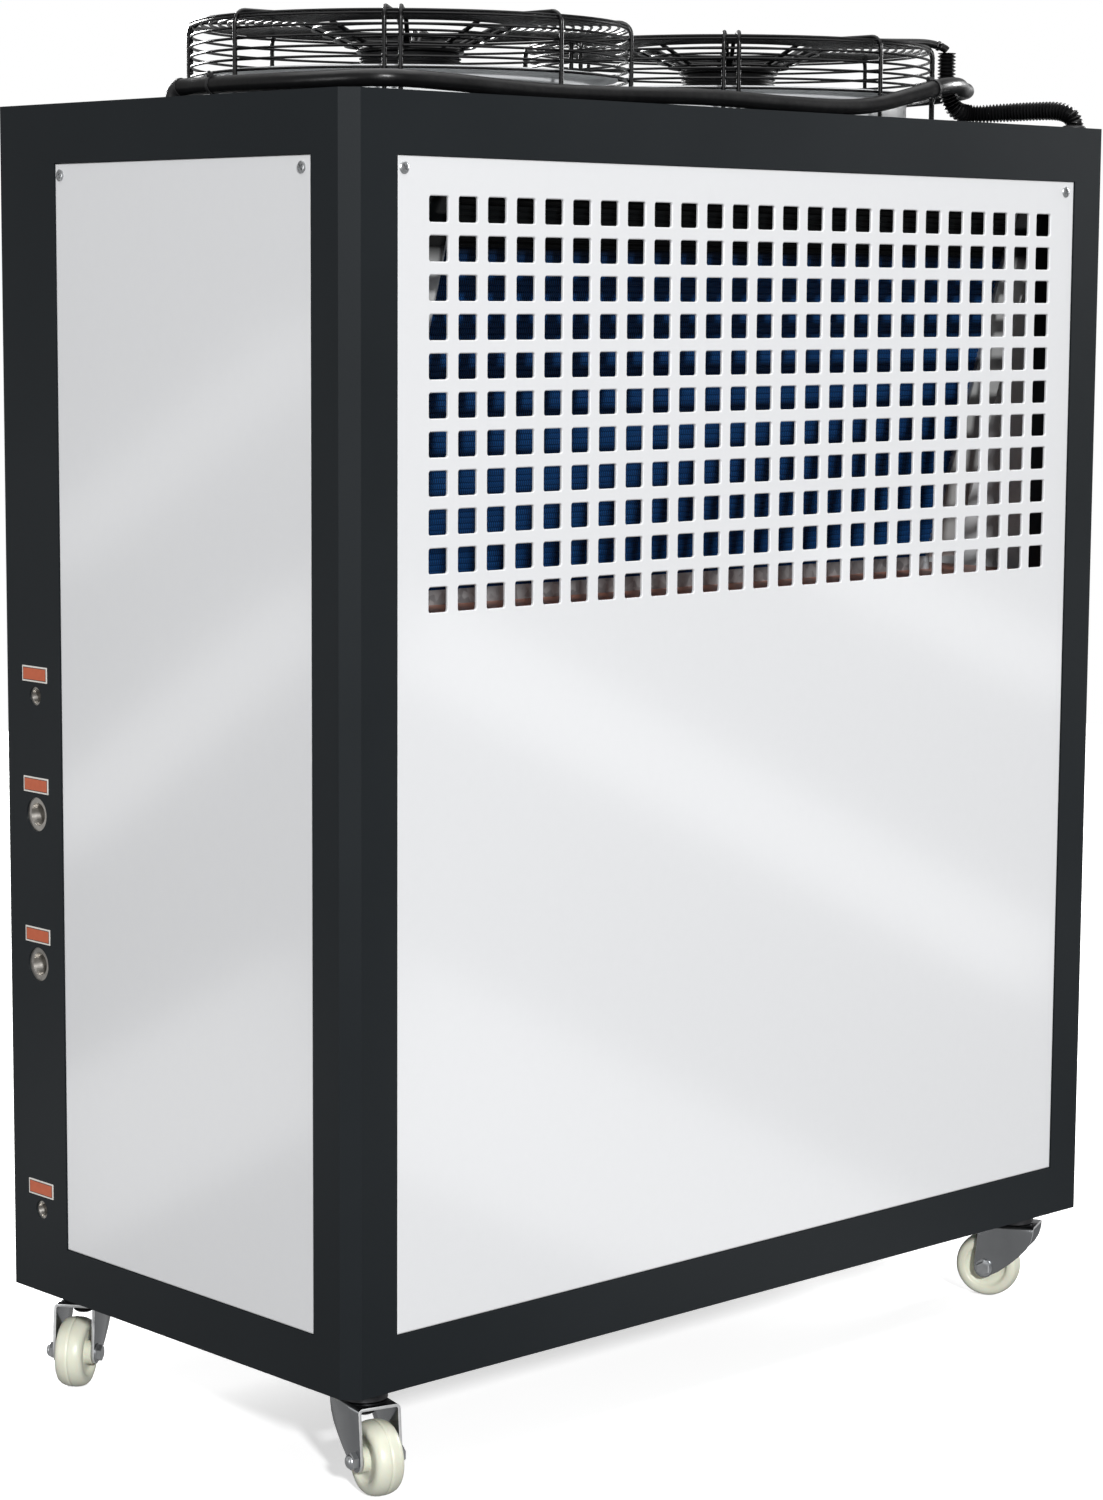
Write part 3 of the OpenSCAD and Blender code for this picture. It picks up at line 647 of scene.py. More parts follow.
blue_fins = Finish("blue_coated_fins", Roughness=0.5, Specular_IOR_Level=0.12)
net = blue_fins.net
# Painted shade: the stripes between the fins are painted dark blue, and the same stripes give the fins'
# relief.
fin_gap_shade_and_relief = net.along("X") / fin_pitch % 1 > fin_gap_share
coil_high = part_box("coil_front")[1].z


def with_painted_top_shade(net, colour):
    """A colour that turns near black toward the coils' upper edge: painted shade."""
    # Painted shade: over the top of the coils the colour fades to near black.
    top_shade_share = net.add("ShaderNodeMapRange", None, {
        "Value": net.along("Z"), "From Min": coil_high - top_shade_h, "From Max": coil_high - top_shade_h + top_shade_fade})
    return net.mix(top_shade_share, colour, paint(6, 8, 9))


fin_tone = net.mix(net.noise(14, 4), paint(13, 55, 104), paint(22, 78, 134))
# The fins get the painted shade near their upper edge.
blue_fins.set("Base Color", with_painted_top_shade(net, net.mix(fin_gap_shade_and_relief, fin_tone, paint(8, 28, 58))))
blue_fins.bump(fin_gap_shade_and_relief, fin_relief)


def coil_frame(node):
    """The place of a leaning coil: upper front edge, its direction down the face and through the coil."""
    low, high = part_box(node)
    front = low.y + high.y < 0
    side = -1 if front else 1
    down = Vector((0, -side * math.sin(coil_lean), -math.cos(coil_lean)))
    through = Vector((0, -side * math.cos(coil_lean), math.sin(coil_lean)))
    edge = Vector((0, low.y if front else high.y, high.z - coil_t * math.sin(coil_lean)))
    run = (edge.z - low.z) / math.cos(coil_lean)
    return edge, down, through, run, low.x, high.x


def bar(name, near, far):
    """A straight bar between two like outlines of points."""
    count = len(near)
    faces = [tuple(range(count)), tuple(range(2 * count - 1, count - 1, -1))]
    faces += [(i, (i + 1) % count, (i + 1) % count + count, i + count) for i in range(count)]
    return plain_mesh(name, near + far, faces)


def extruded(name, outline, start, end):
    """A straight bar along X with a closed outline of points in the plane of Y and Z."""
    return bar(name, [(start, p.y, p.z) for p in outline], [(end, p.y, p.z) for p in outline])


def waved_coil(node):
    """One coil whose two faces carry the level waves of its fins."""
    edge, down, through, run, start, end = coil_frame(node)
    waves = int(run / wave_pitch)
    pitch = run / waves
    face = []
    for i in range(waves):
        face += [(i * pitch, 0), ((i + 0.55) * pitch, 0), ((i + 0.7) * pitch, wave_depth),
                 ((i + 0.85) * pitch, wave_depth)]
    face.append((run, 0))
    outline = [edge + along * down + deep * through for along, deep in face]
    outline += [edge + along * down + (coil_t - deep) * through for along, deep in reversed(face)]
    piece(node + "_fins", extruded(node + "_fins", outline, start, end), blue_fins,
          replaced=(node,))


waved_coil("coil_front")
waved_coil("coil_rear")

galvanised = Finish("galvanised_sheet", Metallic=0.85)
net = galvanised.net
flakes = net.add("ShaderNodeTexVoronoi", None, {"Vector": net.place(), "Scale": 130.0}, "Color")
flake = net.add("ShaderNodeSeparateColor", None, {"Color": flakes}, 0)
galvanised.set("Base Color", net.mix(flake, paint(150, 153, 156), paint(188, 191, 193)))
galvanised.set("Roughness", 0.42 + flake * 0.15)
galvanised.grain(300, 3, 0.02 * MM)
galvanised.dress("coil_casing_front", "coil_casing_rear")
bright_sheet = Finish("bright_galvanised_sheet", Metallic=0.35)
cloud = bright_sheet.net.noise(40, 3)
bright = bright_sheet.net.mix(cloud, paint(186, 187, 187), paint(206, 207, 206))
# The flanges get the same painted shade near their upper edge.
bright_sheet.set("Base Color", with_painted_top_shade(bright_sheet.net, bright))
bright_sheet.set("Roughness", 0.16 + cloud * 0.08)
bright_sheet.dress("coil_closing_plates")

flange_w = 45 * MM
flange_t = 1.5 * MM
flange_out = 4 * MM
for node, coil in (("coil_casing_front", "coil_front"), ("coil_casing_rear", "coil_rear")):
    edge, down, through, run = coil_frame(coil)[:4]
    outer, inner = -flange_out * through, (flange_t - flange_out) * through
    outline = [edge + outer, edge + run * down + outer, edge + run * down + inner, edge + inner]
    low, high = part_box(node)
    for side, near, far in (("left", low.x - flange_w, low.x), ("right", high.x, high.x + flange_w)):
        piece(f"{node}_{side}_flange", extruded("casing_flange", outline, near, far), bright_sheet)

pan_brown = Finish("drip_pan_coating", Metallic=0.3, Roughness=0.34)
pan_brown.mottle(9, 4, (150, 88, 64), (182, 112, 84))
pan_brown.grain(200, 3, 0.05 * MM)
pan_brown.dress("coil_drip_pan")

# Fans
# Each axial fan hangs under a guard of welded black wire: side rings, a level top and a sunk middle that
# holds the motor. The blades turn in a spun sheet mouth with a rolled lip, and zinc plated bolts hold it all
# to the deck.

deck_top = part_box("top_deck")[1].z
fan_half_gap = (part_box("fan_mouth_right")[0].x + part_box("fan_mouth_right")[1].x) / 2
fan_places = {"left": Vector((-fan_half_gap, 0, deck_top)), "right": Vector((fan_half_gap, 0, deck_top))}
guard_r = 232 * MM
guard_h = 87 * MM
guard_low = 30.5 * MM
cone_r = 113 * MM
plate_r = 56 * MM
plate_top = 60 * MM
plate_t = 3 * MM
ring_wire = 1.5 * MM
arm_wire = 2.4 * MM
arm_off = 2.5 * MM
shoulder = 13 * MM
mouth_r = 198 * MM
mouth_h = 34 * MM
hub_r = 53 * MM

black_wire = Finish("black_coated_wire", Specular_IOR_Level=0.25)
black_wire.mottle(60, 3, (6, 6, 7), (14, 14, 15), (0.2, 0.1))
black_wire.grain(1500, 2, 0.04 * MM)


def round_line(net, sides, radius):
    """A circle of straight sides as a curve of a geometry tree."""
    return net.add("GeometryNodeCurvePrimitiveCircle", {"mode": "RADIUS"}, {
        "Resolution": sides, "Radius": radius})


ring_net, given = geometry_net("guard_rings", {
    "Count": "NodeSocketInt", "Low": "NodeSocketFloat", "Rise": "NodeSocketFloat",
    "Radius": "NodeSocketFloat", "Widening": "NodeSocketFloat", "Wire": "NodeSocketFloat"})
levels = ring_net.add("GeometryNodeMeshLine", {"mode": "OFFSET"}, {
    "Count": given["Count"],
    "Start Location": ring_net.add("ShaderNodeCombineXYZ", None, {"Z": given["Low"]}),
    "Offset": ring_net.add("ShaderNodeCombineXYZ", None, {"Z": given["Rise"]})})
reach = given["Radius"] + ring_net.add("GeometryNodeInputIndex") * given["Widening"]
rings = ring_net.add("GeometryNodeInstanceOnPoints", None, {
    "Points": levels, "Instance": round_line(ring_net, 88, 1.0),
    "Scale": ring_net.add("ShaderNodeCombineXYZ", None, {"X": reach, "Y": reach, "Z": 1.0})})
wires = ring_net.add("GeometryNodeCurveToMesh", None, {
    "Curve": ring_net.add("GeometryNodeRealizeInstances", None, {0: rings}),
    "Profile Curve": round_line(ring_net, 6, given["Wire"])})
finish_tree(ring_net, wires, black_wire)

arm_net, given = geometry_net("bent_wires", {"Geometry": "NodeSocketGeometry", "Wire": "NodeSocketFloat"})
rods = arm_net.add("GeometryNodeCurveToMesh", None, {
    "Curve": arm_net.add("GeometryNodeMeshToCurve", None, {0: given["Geometry"]}),
    "Profile Curve": round_line(arm_net, 8, given["Wire"]), "Fill Caps": True})
finish_tree(arm_net, rods, black_wire)


def joined(name, meshes):
    """One mesh of several, with doubles kept apart."""
    work = bmesh.new()
    for mesh in meshes:
        work.from_mesh(mesh)
    whole = bpy.data.meshes.new(name)
    work.to_mesh(whole)
    work.free()
    return whole


def moved(mesh, matrix):
    """The same mesh after a move or turn."""
    mesh.transform(matrix)
    return mesh


def arm_lines():
    """The middle lines of the guard's arms: one along each axis and a pair on each diagonal."""
    side = guard_r - arm_off
    top = guard_h + arm_off
    bend = [(side - shoulder * (1 - math.cos(t)), top - shoulder * (1 - math.sin(t)))
            for t in (math.radians(a) for a in range(0, 91, 15))]
    line = [(side, 0.5 * MM), (side, top - 2 * shoulder)] + bend + [
        (cone_r + 8 * MM, top), (cone_r, top - 0.6 * MM), (cone_r - 8 * MM, top - 4 * MM),
        (plate_r - 6 * MM, plate_top + arm_off)]
    points = []
    edges = []
    for quarter in range(4):
        for offset in (0, 43, 47):
            turn = math.radians(90 * quarter + offset)
            first = len(points)
            points += [(r * math.cos(turn), r * math.sin(turn), z) for r, z in line]
            edges += [(first + i, first + i + 1) for i in range(len(line) - 1)]
    return raw_mesh("arm_lines", points, edges, [])


def wire_guard(side):
    """Rings, arms and the middle plate of one guard."""
    empty = bpy.data.meshes.new("guard_start")
    side_r = guard_r - 6 * MM
    parts = []
    for count, low, rise, radius, widening in (
            (6, guard_low, 10.4 * MM, side_r, 0),
            (13, guard_h - ring_wire, 0, cone_r, (side_r - cone_r) / 12),
            (4, plate_top + 5 * MM, 5.4 * MM, plate_r + 11.4 * MM, 11.4 * MM)):
        parts.append(grown_mesh("guard_rings", empty, ring_net, {
            "Count": count, "Low": low, "Rise": rise, "Radius": radius, "Widening": float(widening),
            "Wire": ring_wire}))
    parts.append(grown_mesh("guard_arms", arm_lines(), arm_net, {"Wire": arm_wire}))
    edge = 1.2 * MM
    plate_low = plate_top - plate_t
    plate = [(0, plate_low), (plate_r - edge, plate_low), (plate_r, plate_low + edge),
             (plate_r, plate_top + 1 * MM), (plate_r - edge, plate_top + 2 * edge),
             (40 * MM, plate_top + 2 * edge), (37 * MM, plate_top + edge), (0, plate_top + edge)]
    parts.append(lathe("middle_plate", plate, 64))
    guard = smooth(joined("guard_" + side, parts), 50)
    piece("wire_guard_" + side, moved(guard, Matrix.Translation(fan_places[side])), black_wire,
          replaced=("fan_guard_" + side,))


for side in fan_places:
    wire_guard(side)

pale_sheet = Finish("pale_grey_sheet_paint", Metallic=0.0, Coat_Weight=0.2)
pale_sheet.mottle(18, 3, (196, 198, 200), (214, 216, 217), (0.34, 0.1))
pale_sheet.grain(500, 2, 0.04 * MM)
black_cast = Finish("black_cast_aluminium", Metallic=0.3)
black_cast.mottle(40, 3, (16, 16, 18), (34, 35, 37), (0.4, 0.16))
black_cast.grain(900, 3, 0.12 * MM)


def fan_mouth(side):
    """A spun mouth: flange on the deck, straight throat and a lip that rolls outward."""
    throat, skin, bend = 34 * MM, 2.5 * MM, 14 * MM
    roll = [math.radians(a) for a in range(0, 91, 15)]
    middle_r, middle_z = mouth_r + bend, mouth_h - bend
    inner = [(middle_r - bend * math.cos(a), middle_z + bend * math.sin(a)) for a in roll]
    outer = [(middle_r - (bend - skin) * math.cos(a), middle_z + (bend - skin) * math.sin(a))
             for a in reversed(roll)]
    lip = [(mouth_r + 17 * MM, mouth_h - 0.6 * MM), (mouth_r + 18 * MM, mouth_h - 2.5 * MM),
           (mouth_r + 17 * MM, mouth_h - 3.6 * MM)]
    outline = [(mouth_r, -throat)] + inner + lip + outer + [
        (mouth_r + skin, 4 * MM), (mouth_r + 4 * MM, 2.4 * MM), (mouth_r + 20 * MM, 2.4 * MM),
        (mouth_r + 20 * MM, 0), (mouth_r + 3 * MM, 0), (mouth_r + 3 * MM, -throat)]
    mesh = lathe("spun_mouth", outline, 96)
    piece("spun_mouth_" + side, moved(mesh, Matrix.Translation(fan_places[side])), pale_sheet,
          replaced=("fan_mouth_" + side,))


def fan_motor(side):
    """A shallow external motor under the middle plate, with cooling ribs round its shell."""
    low, high = 30 * MM, plate_top - plate_t
    outline = [(0, low), (hub_r - 5 * MM, low), (hub_r - 2 * MM, low + 2 * MM)]
    for rib in range(6):
        foot = low + (4 + 3.4 * rib) * MM
        outline += [(hub_r - 2 * MM, foot), (hub_r, foot + 0.5 * MM), (hub_r, foot + 1.6 * MM),
                    (hub_r - 2 * MM, foot + 2.1 * MM)]
    outline += [(hub_r - 2 * MM, high), (0, high)]
    shaft = [(0, -42 * MM), (9.5 * MM, -42 * MM), (9.5 * MM, low + 1 * MM), (0, low + 1 * MM)]
    mesh = joined("motor", [lathe("motor_shell", outline, 64), lathe("shaft", shaft, 24)])
    piece("motor_shell_" + side, moved(mesh, Matrix.Translation(fan_places[side])), black_cast,
          replaced=("fan_motor_" + side,))


blade_count = 5
blade_steps, chord_steps = 10, 8
blade_tip = 189 * MM
blade_t = 1.6 * MM


def sickle_blade():
    """One forward swept blade, wider and flatter toward its tip, as a closed thin shell."""
    points = []
    faces = []
    for face in (1, -1):
        for i in range(blade_steps + 1):
            out = i / blade_steps
            r = hub_r - 2 * MM + out * (blade_tip - hub_r + 2 * MM)
            chord = (84 + 44 * math.sin(out * math.pi * 0.62)) * MM
            pitch = math.radians(36 - 12 * out)
            swept = math.radians(26) * out * out
            for j in range(chord_steps + 1):
                share = j / chord_steps - 0.5
                turn = swept + share * chord * math.cos(pitch) / r
                camber = 5 * MM * (1 - 4 * share * share)
                z = -16 * MM + share * chord * math.sin(pitch) + camber + face * blade_t / 2
                points.append((r * math.cos(turn), r * math.sin(turn), z))
    row = chord_steps + 1
    back = row * (blade_steps + 1)
    for i in range(blade_steps):
        for j in range(chord_steps):
            a = i * row + j
            faces.append((a, a + 1, a + row + 1, a + row))
            faces.append((back + a, back + a + row, back + a + row + 1, back + a + 1))
    rim = [j for j in range(row)] + [i * row + chord_steps for i in range(1, blade_steps + 1)]
    rim += [blade_steps * row + j for j in range(chord_steps - 1, -1, -1)]
    rim += [i * row for i in range(blade_steps - 1, 0, -1)]
    for a, b in zip(rim, rim[1:] + rim[:1]):
        faces.append((a, b, back + b, back + a))
    return smooth(plain_mesh("blade", points, faces))


def fan_rotor(side):
    """The hub and its blades, free to turn in the mouth."""
    bore, top, web, foot = 10.05 * MM, 24 * MM, -50 * MM, -60 * MM
    hub = [(bore, -43 * MM), (bore, top), (hub_r - 4 * MM, top), (hub_r, top - 4 * MM),
           (hub_r, foot + 3 * MM), (hub_r - 3 * MM, foot), (hub_r - 6 * MM, foot), (hub_r - 8 * MM, web),
           (16 * MM, web), (14 * MM, -43 * MM)]
    parts = [lathe("hub", hub, 64)]
    for k in range(blade_count):
        parts.append(moved(sickle_blade(), Matrix.Rotation(2 * math.pi * k / blade_count, 4, "Z")))
    piece("rotor_" + side, moved(joined("rotor", parts), Matrix.Translation(fan_places[side])), black_cast,
          body="fan_" + side, replaced=("fan_rotor_" + side,))


for side in fan_places:
    fan_mouth(side)
    fan_motor(side)
    fan_rotor(side)

foot_bolt_r = 250 * MM
hand_turns = 1.9
washer = lathe("washer", [(0, 0), (9 * MM, 0), (9 * MM, 1.2 * MM), (8.6 * MM, 1.6 * MM), (0, 1.6 * MM)], 24)
head = lathe("head", [(0, 1 * MM), (6.4 * MM, 1 * MM), (6.4 * MM, 7.2 * MM), (5.6 * MM, 8 * MM),
                      (0, 8 * MM)], 6)
bolt = joined("foot_bolt", [washer, head])
for side, middle in fan_places.items():
    bolts = []
    for quarter in range(4):
        turn = math.radians(90 * quarter + 45)
        foot = middle + foot_bolt_r * Vector((math.cos(turn), math.sin(turn), 0))
        tightened = Matrix.Rotation(hand_turns * quarter, 4, "Z")
        bolts.append(moved(bolt.copy(), Matrix.Translation(foot) @ tightened))
    piece("guard_foot_bolts_" + side, joined("foot_bolts", bolts), zinc_bright)

# Cables
# A smooth black hose with the fan leads lies on the deck round both fans, fixed to the guards by nylon
# ties. A motor cable runs over the right guard into a corrugated conduit, which enters the deck's corner.

hose_r = 8.5 * MM
conduit_r = 10 * MM
cable_r = 4.5 * MM
gland_r, gland_h = 14 * MM, 4 * MM
seat = 0.2 * MM
hose_rise, conduit_rise = 6 * MM, 2 * MM
lie_z, pass_z = 12 * MM, 43 * MM
cabinet_half = (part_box("base_tray")[1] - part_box("base_tray")[0]) / 2
hose_left = -cabinet_half.x + 40 * MM
hose_front = -guard_r - 20 * MM
hose_right = fan_half_gap + guard_r + 26 * MM
drop_angle = math.radians(-33)
drop_r = guard_r + 23 * MM


def on_drop_line(radius):
    """A place on the line from the right fan's middle to where its cable drops."""
    return fan_half_gap + radius * math.cos(drop_angle), radius * math.sin(drop_angle)


drop = Vector((*on_drop_line(drop_r), 0))
conduit_top = guard_h - 1 * MM
conduit_in = 29 * MM
elbow_r = hose_r + 0.8 * MM
elbow_y = 0.12 * guard_r
hose_start = Vector((hose_left, elbow_y - lie_z - seat, lie_z))
hose_end = Vector((hose_right + 0.02 * guard_r, 0.26 * guard_r, gland_h + seat))
conduit_end = Vector((cabinet_half.x - conduit_in, -cabinet_half.y + conduit_in, gland_h + seat))


def straight_end(entry, rise):
    """The straight start of an end above its gland."""
    return [entry, entry + Vector((0, 0, rise)), entry + Vector((0, 0, 2 * rise))]


def smooth_route(points, steps):
    """A curve through points, sampled in even shares of each stretch."""
    path = []
    last = len(points) - 1
    for i in range(last):
        a, b, c, d = points[max(i - 1, 0)], points[i], points[i + 1], points[min(i + 2, last)]
        for k in range(steps):
            t = k / steps
            path.append(0.5 * (2 * b + (c - a) * t + (2 * a - 5 * b + 4 * c - d) * t * t
                               + (3 * b - a - 3 * c + d) * t * t * t))
    return path + [points[last]]


def evenly(path, gap):
    """The same path with points a fixed gap apart."""
    even = [path[0]]
    need = gap
    for a, b in zip(path, path[1:]):
        span = (b - a).length
        while need <= span:
            even.append(a.lerp(b, need / span))
            need += gap
        need -= span
    return even


def tube(name, path, radii, sides):
    """A closed tube along a path, with its own radius at each point."""
    points = []
    faces = []
    side = None
    for i, place in enumerate(path):
        ahead_here = (path[min(i + 1, len(path) - 1)] - path[max(i - 1, 0)]).normalized()
        if side is None:
            side = ahead_here.orthogonal().normalized()
        side = (side - side.dot(ahead_here) * ahead_here).normalized()
        lift = ahead_here.cross(side)
        for k in range(sides):
            turn = 2 * math.pi * k / sides
            points.append(place + radii[i] * (math.cos(turn) * side + math.sin(turn) * lift))
    for i in range(len(path) - 1):
        for k in range(sides):
            a, b = i * sides + k, i * sides + (k + 1) % sides
            faces.append((a, b, b + sides, a + sides))
    faces.append(tuple(range(sides)))
    faces.append(tuple((len(path) - 1) * sides + k for k in range(sides)))
    return plain_mesh(name, points, faces)


def above_deck(points):
    """Points given from the deck's top, put where the deck is."""
    return [Vector(p) + Vector((0, 0, deck_top)) for p in points]


black_pvc = Finish("black_pvc_sheath", Specular_IOR_Level=0.3)
black_pvc.mottle(45, 4, (7, 7, 8), (16, 16, 17), (0.24, 0.16))
black_pvc.grain(60, 3, 0.6 * MM)

g = guard_r
pitch = 2 * fan_half_gap
hose_points = [
    hose_start, hose_start - g * Vector((0, 0.04, 0)), hose_start - g * Vector((0, 0.08, 0)),
    Vector((hose_left - 0.01 * g, -0.26 * g, lie_z)), Vector((hose_left + 0.03 * g, -0.73 * g, lie_z)),
    Vector((hose_left + 0.18 * g, hose_front + 0.03 * g, 1.1 * lie_z)),
    Vector((hose_left + 0.52 * g, hose_front, lie_z)), Vector((-0.63 * pitch, hose_front + 0.01 * g, hose_r)),
    Vector((-0.42 * pitch, hose_front + 0.01 * g, 1.05 * hose_r)), Vector((-0.13 * pitch, hose_front, lie_z)),
    Vector((0.11 * pitch, hose_front, 1.2 * hose_r)), Vector((0.29 * pitch, hose_front, 1.15 * hose_r)),
    Vector((0.42 * pitch, hose_front, 1.17 * lie_z)), Vector((0.55 * pitch, hose_front, 0.62 * pass_z)),
    Vector((0.66 * pitch, hose_front + 0.01 * g, 0.9 * pass_z)),
    Vector((hose_right - 0.56 * g, hose_front + 0.1 * g, pass_z)),
    Vector((hose_right - 0.3 * g, hose_front + 0.29 * g, pass_z)),
    Vector((hose_right - 0.11 * g, hose_front + 0.43 * g, pass_z)),
    Vector((hose_right - 0.04 * g, hose_front + 0.63 * g, 0.95 * pass_z)),
    Vector((hose_right - 0.01 * g, -0.17 * g, 0.9 * pass_z)),
    hose_end + g * Vector((0, -0.15, 0.15)), hose_end + g * Vector((0, -0.03, 0.12))]
hose_points += straight_end(hose_end, hose_rise)[::-1]
hose_path = evenly(smooth_route(above_deck(hose_points), 8), 9 * MM)
hose = tube("fan_lead_hose", hose_path, [hose_r] * len(hose_path), 20)
piece("fan_lead_hose", smooth(hose), black_pvc, replaced=("fan_cable_hose",))

conduit_points = [drop + Vector((0, 0, conduit_top)), drop + Vector((0, 0, 0.8 * conduit_top))]
for step in ((0.01, 0, 0.18), (0.05, -0.02, 0.1), (0.14, -0.06, 0.08), (0.22, -0.18, 0.085),
             (0.28, -0.33, 0.09)):
    conduit_points.append(drop + g * Vector(step))
for step in ((-0.03, 0.08, 0.07), (-0.01, 0.02, 0.05)):
    conduit_points.append(conduit_end + g * Vector(step))
conduit_points += straight_end(conduit_end, conduit_rise)[::-1]
groove_pitch = 3.9 * MM
groove_steps = (-0.6, 0.2, 1.4, 2.4, 1.4, 0.2)
conduit_path = evenly(smooth_route(above_deck(conduit_points), 12), groove_pitch / len(groove_steps))
conduit_radii = [conduit_r - groove_steps[i % len(groove_steps)] * MM for i in range(len(conduit_path))]
conduit = tube("ribbed_conduit", conduit_path, conduit_radii, 20)
piece("ribbed_conduit", smooth(conduit, 50), black_pvc, replaced=("corrugated_conduit",))

cable_line = [(plate_r + 8 * MM, plate_top + 12 * MM), (cone_r - 12 * MM, guard_h + 5 * MM),
              (cone_r + 14 * MM, guard_h + 9 * MM), (guard_r - 40 * MM, guard_h + 10 * MM),
              (guard_r - 4 * MM, guard_h + 10 * MM), (guard_r + 13 * MM, guard_h + 7 * MM),
              (drop_r - 1 * MM, conduit_top + 4 * MM), (drop_r, conduit_top + 2 * seat)]
cable_points = [(*on_drop_line(r), z) for r, z in cable_line]
cable_path = evenly(smooth_route(above_deck(cable_points), 10), 3 * MM)
cable = tube("fan_motor_cable", cable_path, [cable_r] * len(cable_path), 14)
piece("fan_motor_cable", smooth(cable), black_pvc, replaced=("motor_cable",))

black_nylon = Finish("black_nylon", Roughness=0.45)
black_nylon.mottle(90, 3, (18, 18, 19), (32, 32, 34))
black_nylon.grain(1200, 2, 0.05 * MM)


def tie(name, path, index, radius, tail, lean):
    """A nylon tie round a tube at one point of its path. Its lock and tail lean from upright by an angle."""
    place = path[index]
    along_tube = (path[index + 1] - path[index - 1]).normalized()
    side = along_tube.cross(Vector((0, 0, 1))).normalized()
    lift = side.cross(along_tube)
    count = 28
    points = []
    faces = []
    for k in range(count):
        turn = 2 * math.pi * k / count
        out = math.cos(turn) * side + math.sin(turn) * lift
        for across, up in ((-1.8, 0.1), (1.8, 0.1), (1.8, 1.1), (-1.8, 1.1)):
            points.append(place + across * MM * along_tube + (radius + up * MM) * out)
    for k in range(count):
        here, there = 4 * k, 4 * ((k + 1) % count)
        faces += [(here + i, here + (i + 1) % 4, there + (i + 1) % 4, there + i) for i in range(4)]
    up = math.cos(lean) * lift + math.sin(lean) * side
    across = along_tube.cross(up)
    lock = place + radius * up
    for low, high, wide, long in (
            (0.2 * MM, 3.6 * MM, 2.6 * MM, 2.6 * MM), (3.4 * MM, tail, 0.6 * MM, 1.7 * MM)):
        corners = [lock + x * wide * across + y * long * along_tube + z * up
                   for x in (-1, 1) for y in (-1, 1) for z in (low, high)]
        faces += [tuple(len(points) + i for i in face) for face in block((0, 0, 0), (1, 1, 1))[1]]
        points += corners
    piece(name, smooth(plain_mesh(name, points, faces)), black_nylon)


def nearest(path, x, y):
    """The number of the path's point closest to a place on the deck."""
    return min(range(1, len(path) - 1), key=lambda i: (path[i].x - x) ** 2 + (path[i].y - y) ** 2)


tie("hose_tie_left", hose_path, nearest(hose_path, hose_left, -0.18 * g), hose_r, 6 * MM, 0.4)
tie("hose_tie_right", hose_path, nearest(hose_path, 0.64 * pitch, hose_front), hose_r, 6 * MM, -0.5)
tie("cable_tie", cable_path, nearest(cable_path, *on_drop_line(guard_r + 12 * MM)), cable_r, 14 * MM, 1.5)

elbow_line = [Vector((hose_left, elbow_y - lie_z + lie_z * math.cos(t), deck_top + lie_z * math.sin(t)))
              for t in (math.radians(90 * k / 10) for k in range(11))]
glands = [smooth(tube("elbow", elbow_line, [elbow_r] * len(elbow_line), 24))]
for entry in (hose_end, conduit_end):
    nut = [(0, 0), (gland_r, 0), (gland_r, 0.5 * gland_h), (gland_r - 1 * MM, 0.7 * gland_h),
           (gland_r - 2 * MM, 0.85 * gland_h), (gland_r - 3.2 * MM, gland_h), (0, gland_h)]
    glands.append(moved(lathe("gland", nut, 32), Matrix.Translation((entry.x, entry.y, deck_top))))
piece("gland_nuts", joined("gland_nuts", glands), black_nylon,
      replaced=("cable_glands",))

# Water ports
# Threaded sockets of plated steel end a little behind the frame's face: filling, inlet, outlet and drain.
# Above each one a small plate with a plain orange field in a pale frame is glued on.

port_steel = Finish("plated_port_steel", Metallic=0.9)
ports = ("fill_port", "water_inlet_port", "water_outlet_port", "drain_port")
thread_pitch, thread_depth = 1.8 * MM, 0.6 * MM
port_steel.mottle(160, 3, (136, 132, 126), (186, 183, 178), (0.24, 0.18))
port_steel.bump(port_steel.net.along("X") / thread_pitch % 1, thread_depth)
port_steel.dress(*ports)

plate_white = Finish("plate_white_print", Roughness=0.4)
plate_white.mottle(200, 2, (214, 210, 204), (228, 225, 220))
plate_line = Finish("plate_dark_line", Roughness=0.45)
plate_line.mottle(200, 2, (46, 34, 30), (62, 46, 40))
plate_orange = Finish("plate_orange_print", Roughness=0.42)
plate_orange.mottle(160, 3, (176, 84, 52), (196, 100, 66))

label_w, label_h, label_t = 44 * MM, 16.5 * MM, 1 * MM
label_above_port = 5 * MM


def framed_plates():
    """Flat plates of three prints that step down in width: a pale rim, a dark line and the middle."""
    low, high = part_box("port_label_plates")
    middle_y = (low.y + high.y) / 2
    face_x = high.x
    points = []
    faces = []
    prints = []
    for port in ports:
        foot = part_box(port)[1].z + label_above_port
        for index, (inset, step) in enumerate(((0, 0.6), (1.6, 0.75), (2.3, 0.9))):
            shift = inset * MM
            corners, sides = block(
                (face_x - step * label_t, middle_y - label_w / 2 + shift, foot + shift),
                (face_x, middle_y + label_w / 2 - shift, foot + label_h - shift))
            faces += [tuple(len(points) + i for i in side) for side in sides]
            points += corners
            prints += [index] * len(sides)
    mesh = plain_mesh("framed_plates", points, faces)
    piece("framed_plates", mesh, None, replaced=("port_label_plates",))
    for finish in (plate_white, plate_line, plate_orange):
        mesh.materials.append(finish.material)
    mesh.polygons.foreach_set("material_index", prints)


framed_plates()

# Casters
# Four swivel casters with a bolted top plate, a fork pressed from zinc plated sheet and an ivory nylon
# wheel. The axle is a hexagon bolt with a domed lock nut, and a riveted pin holds the fork at its crown.

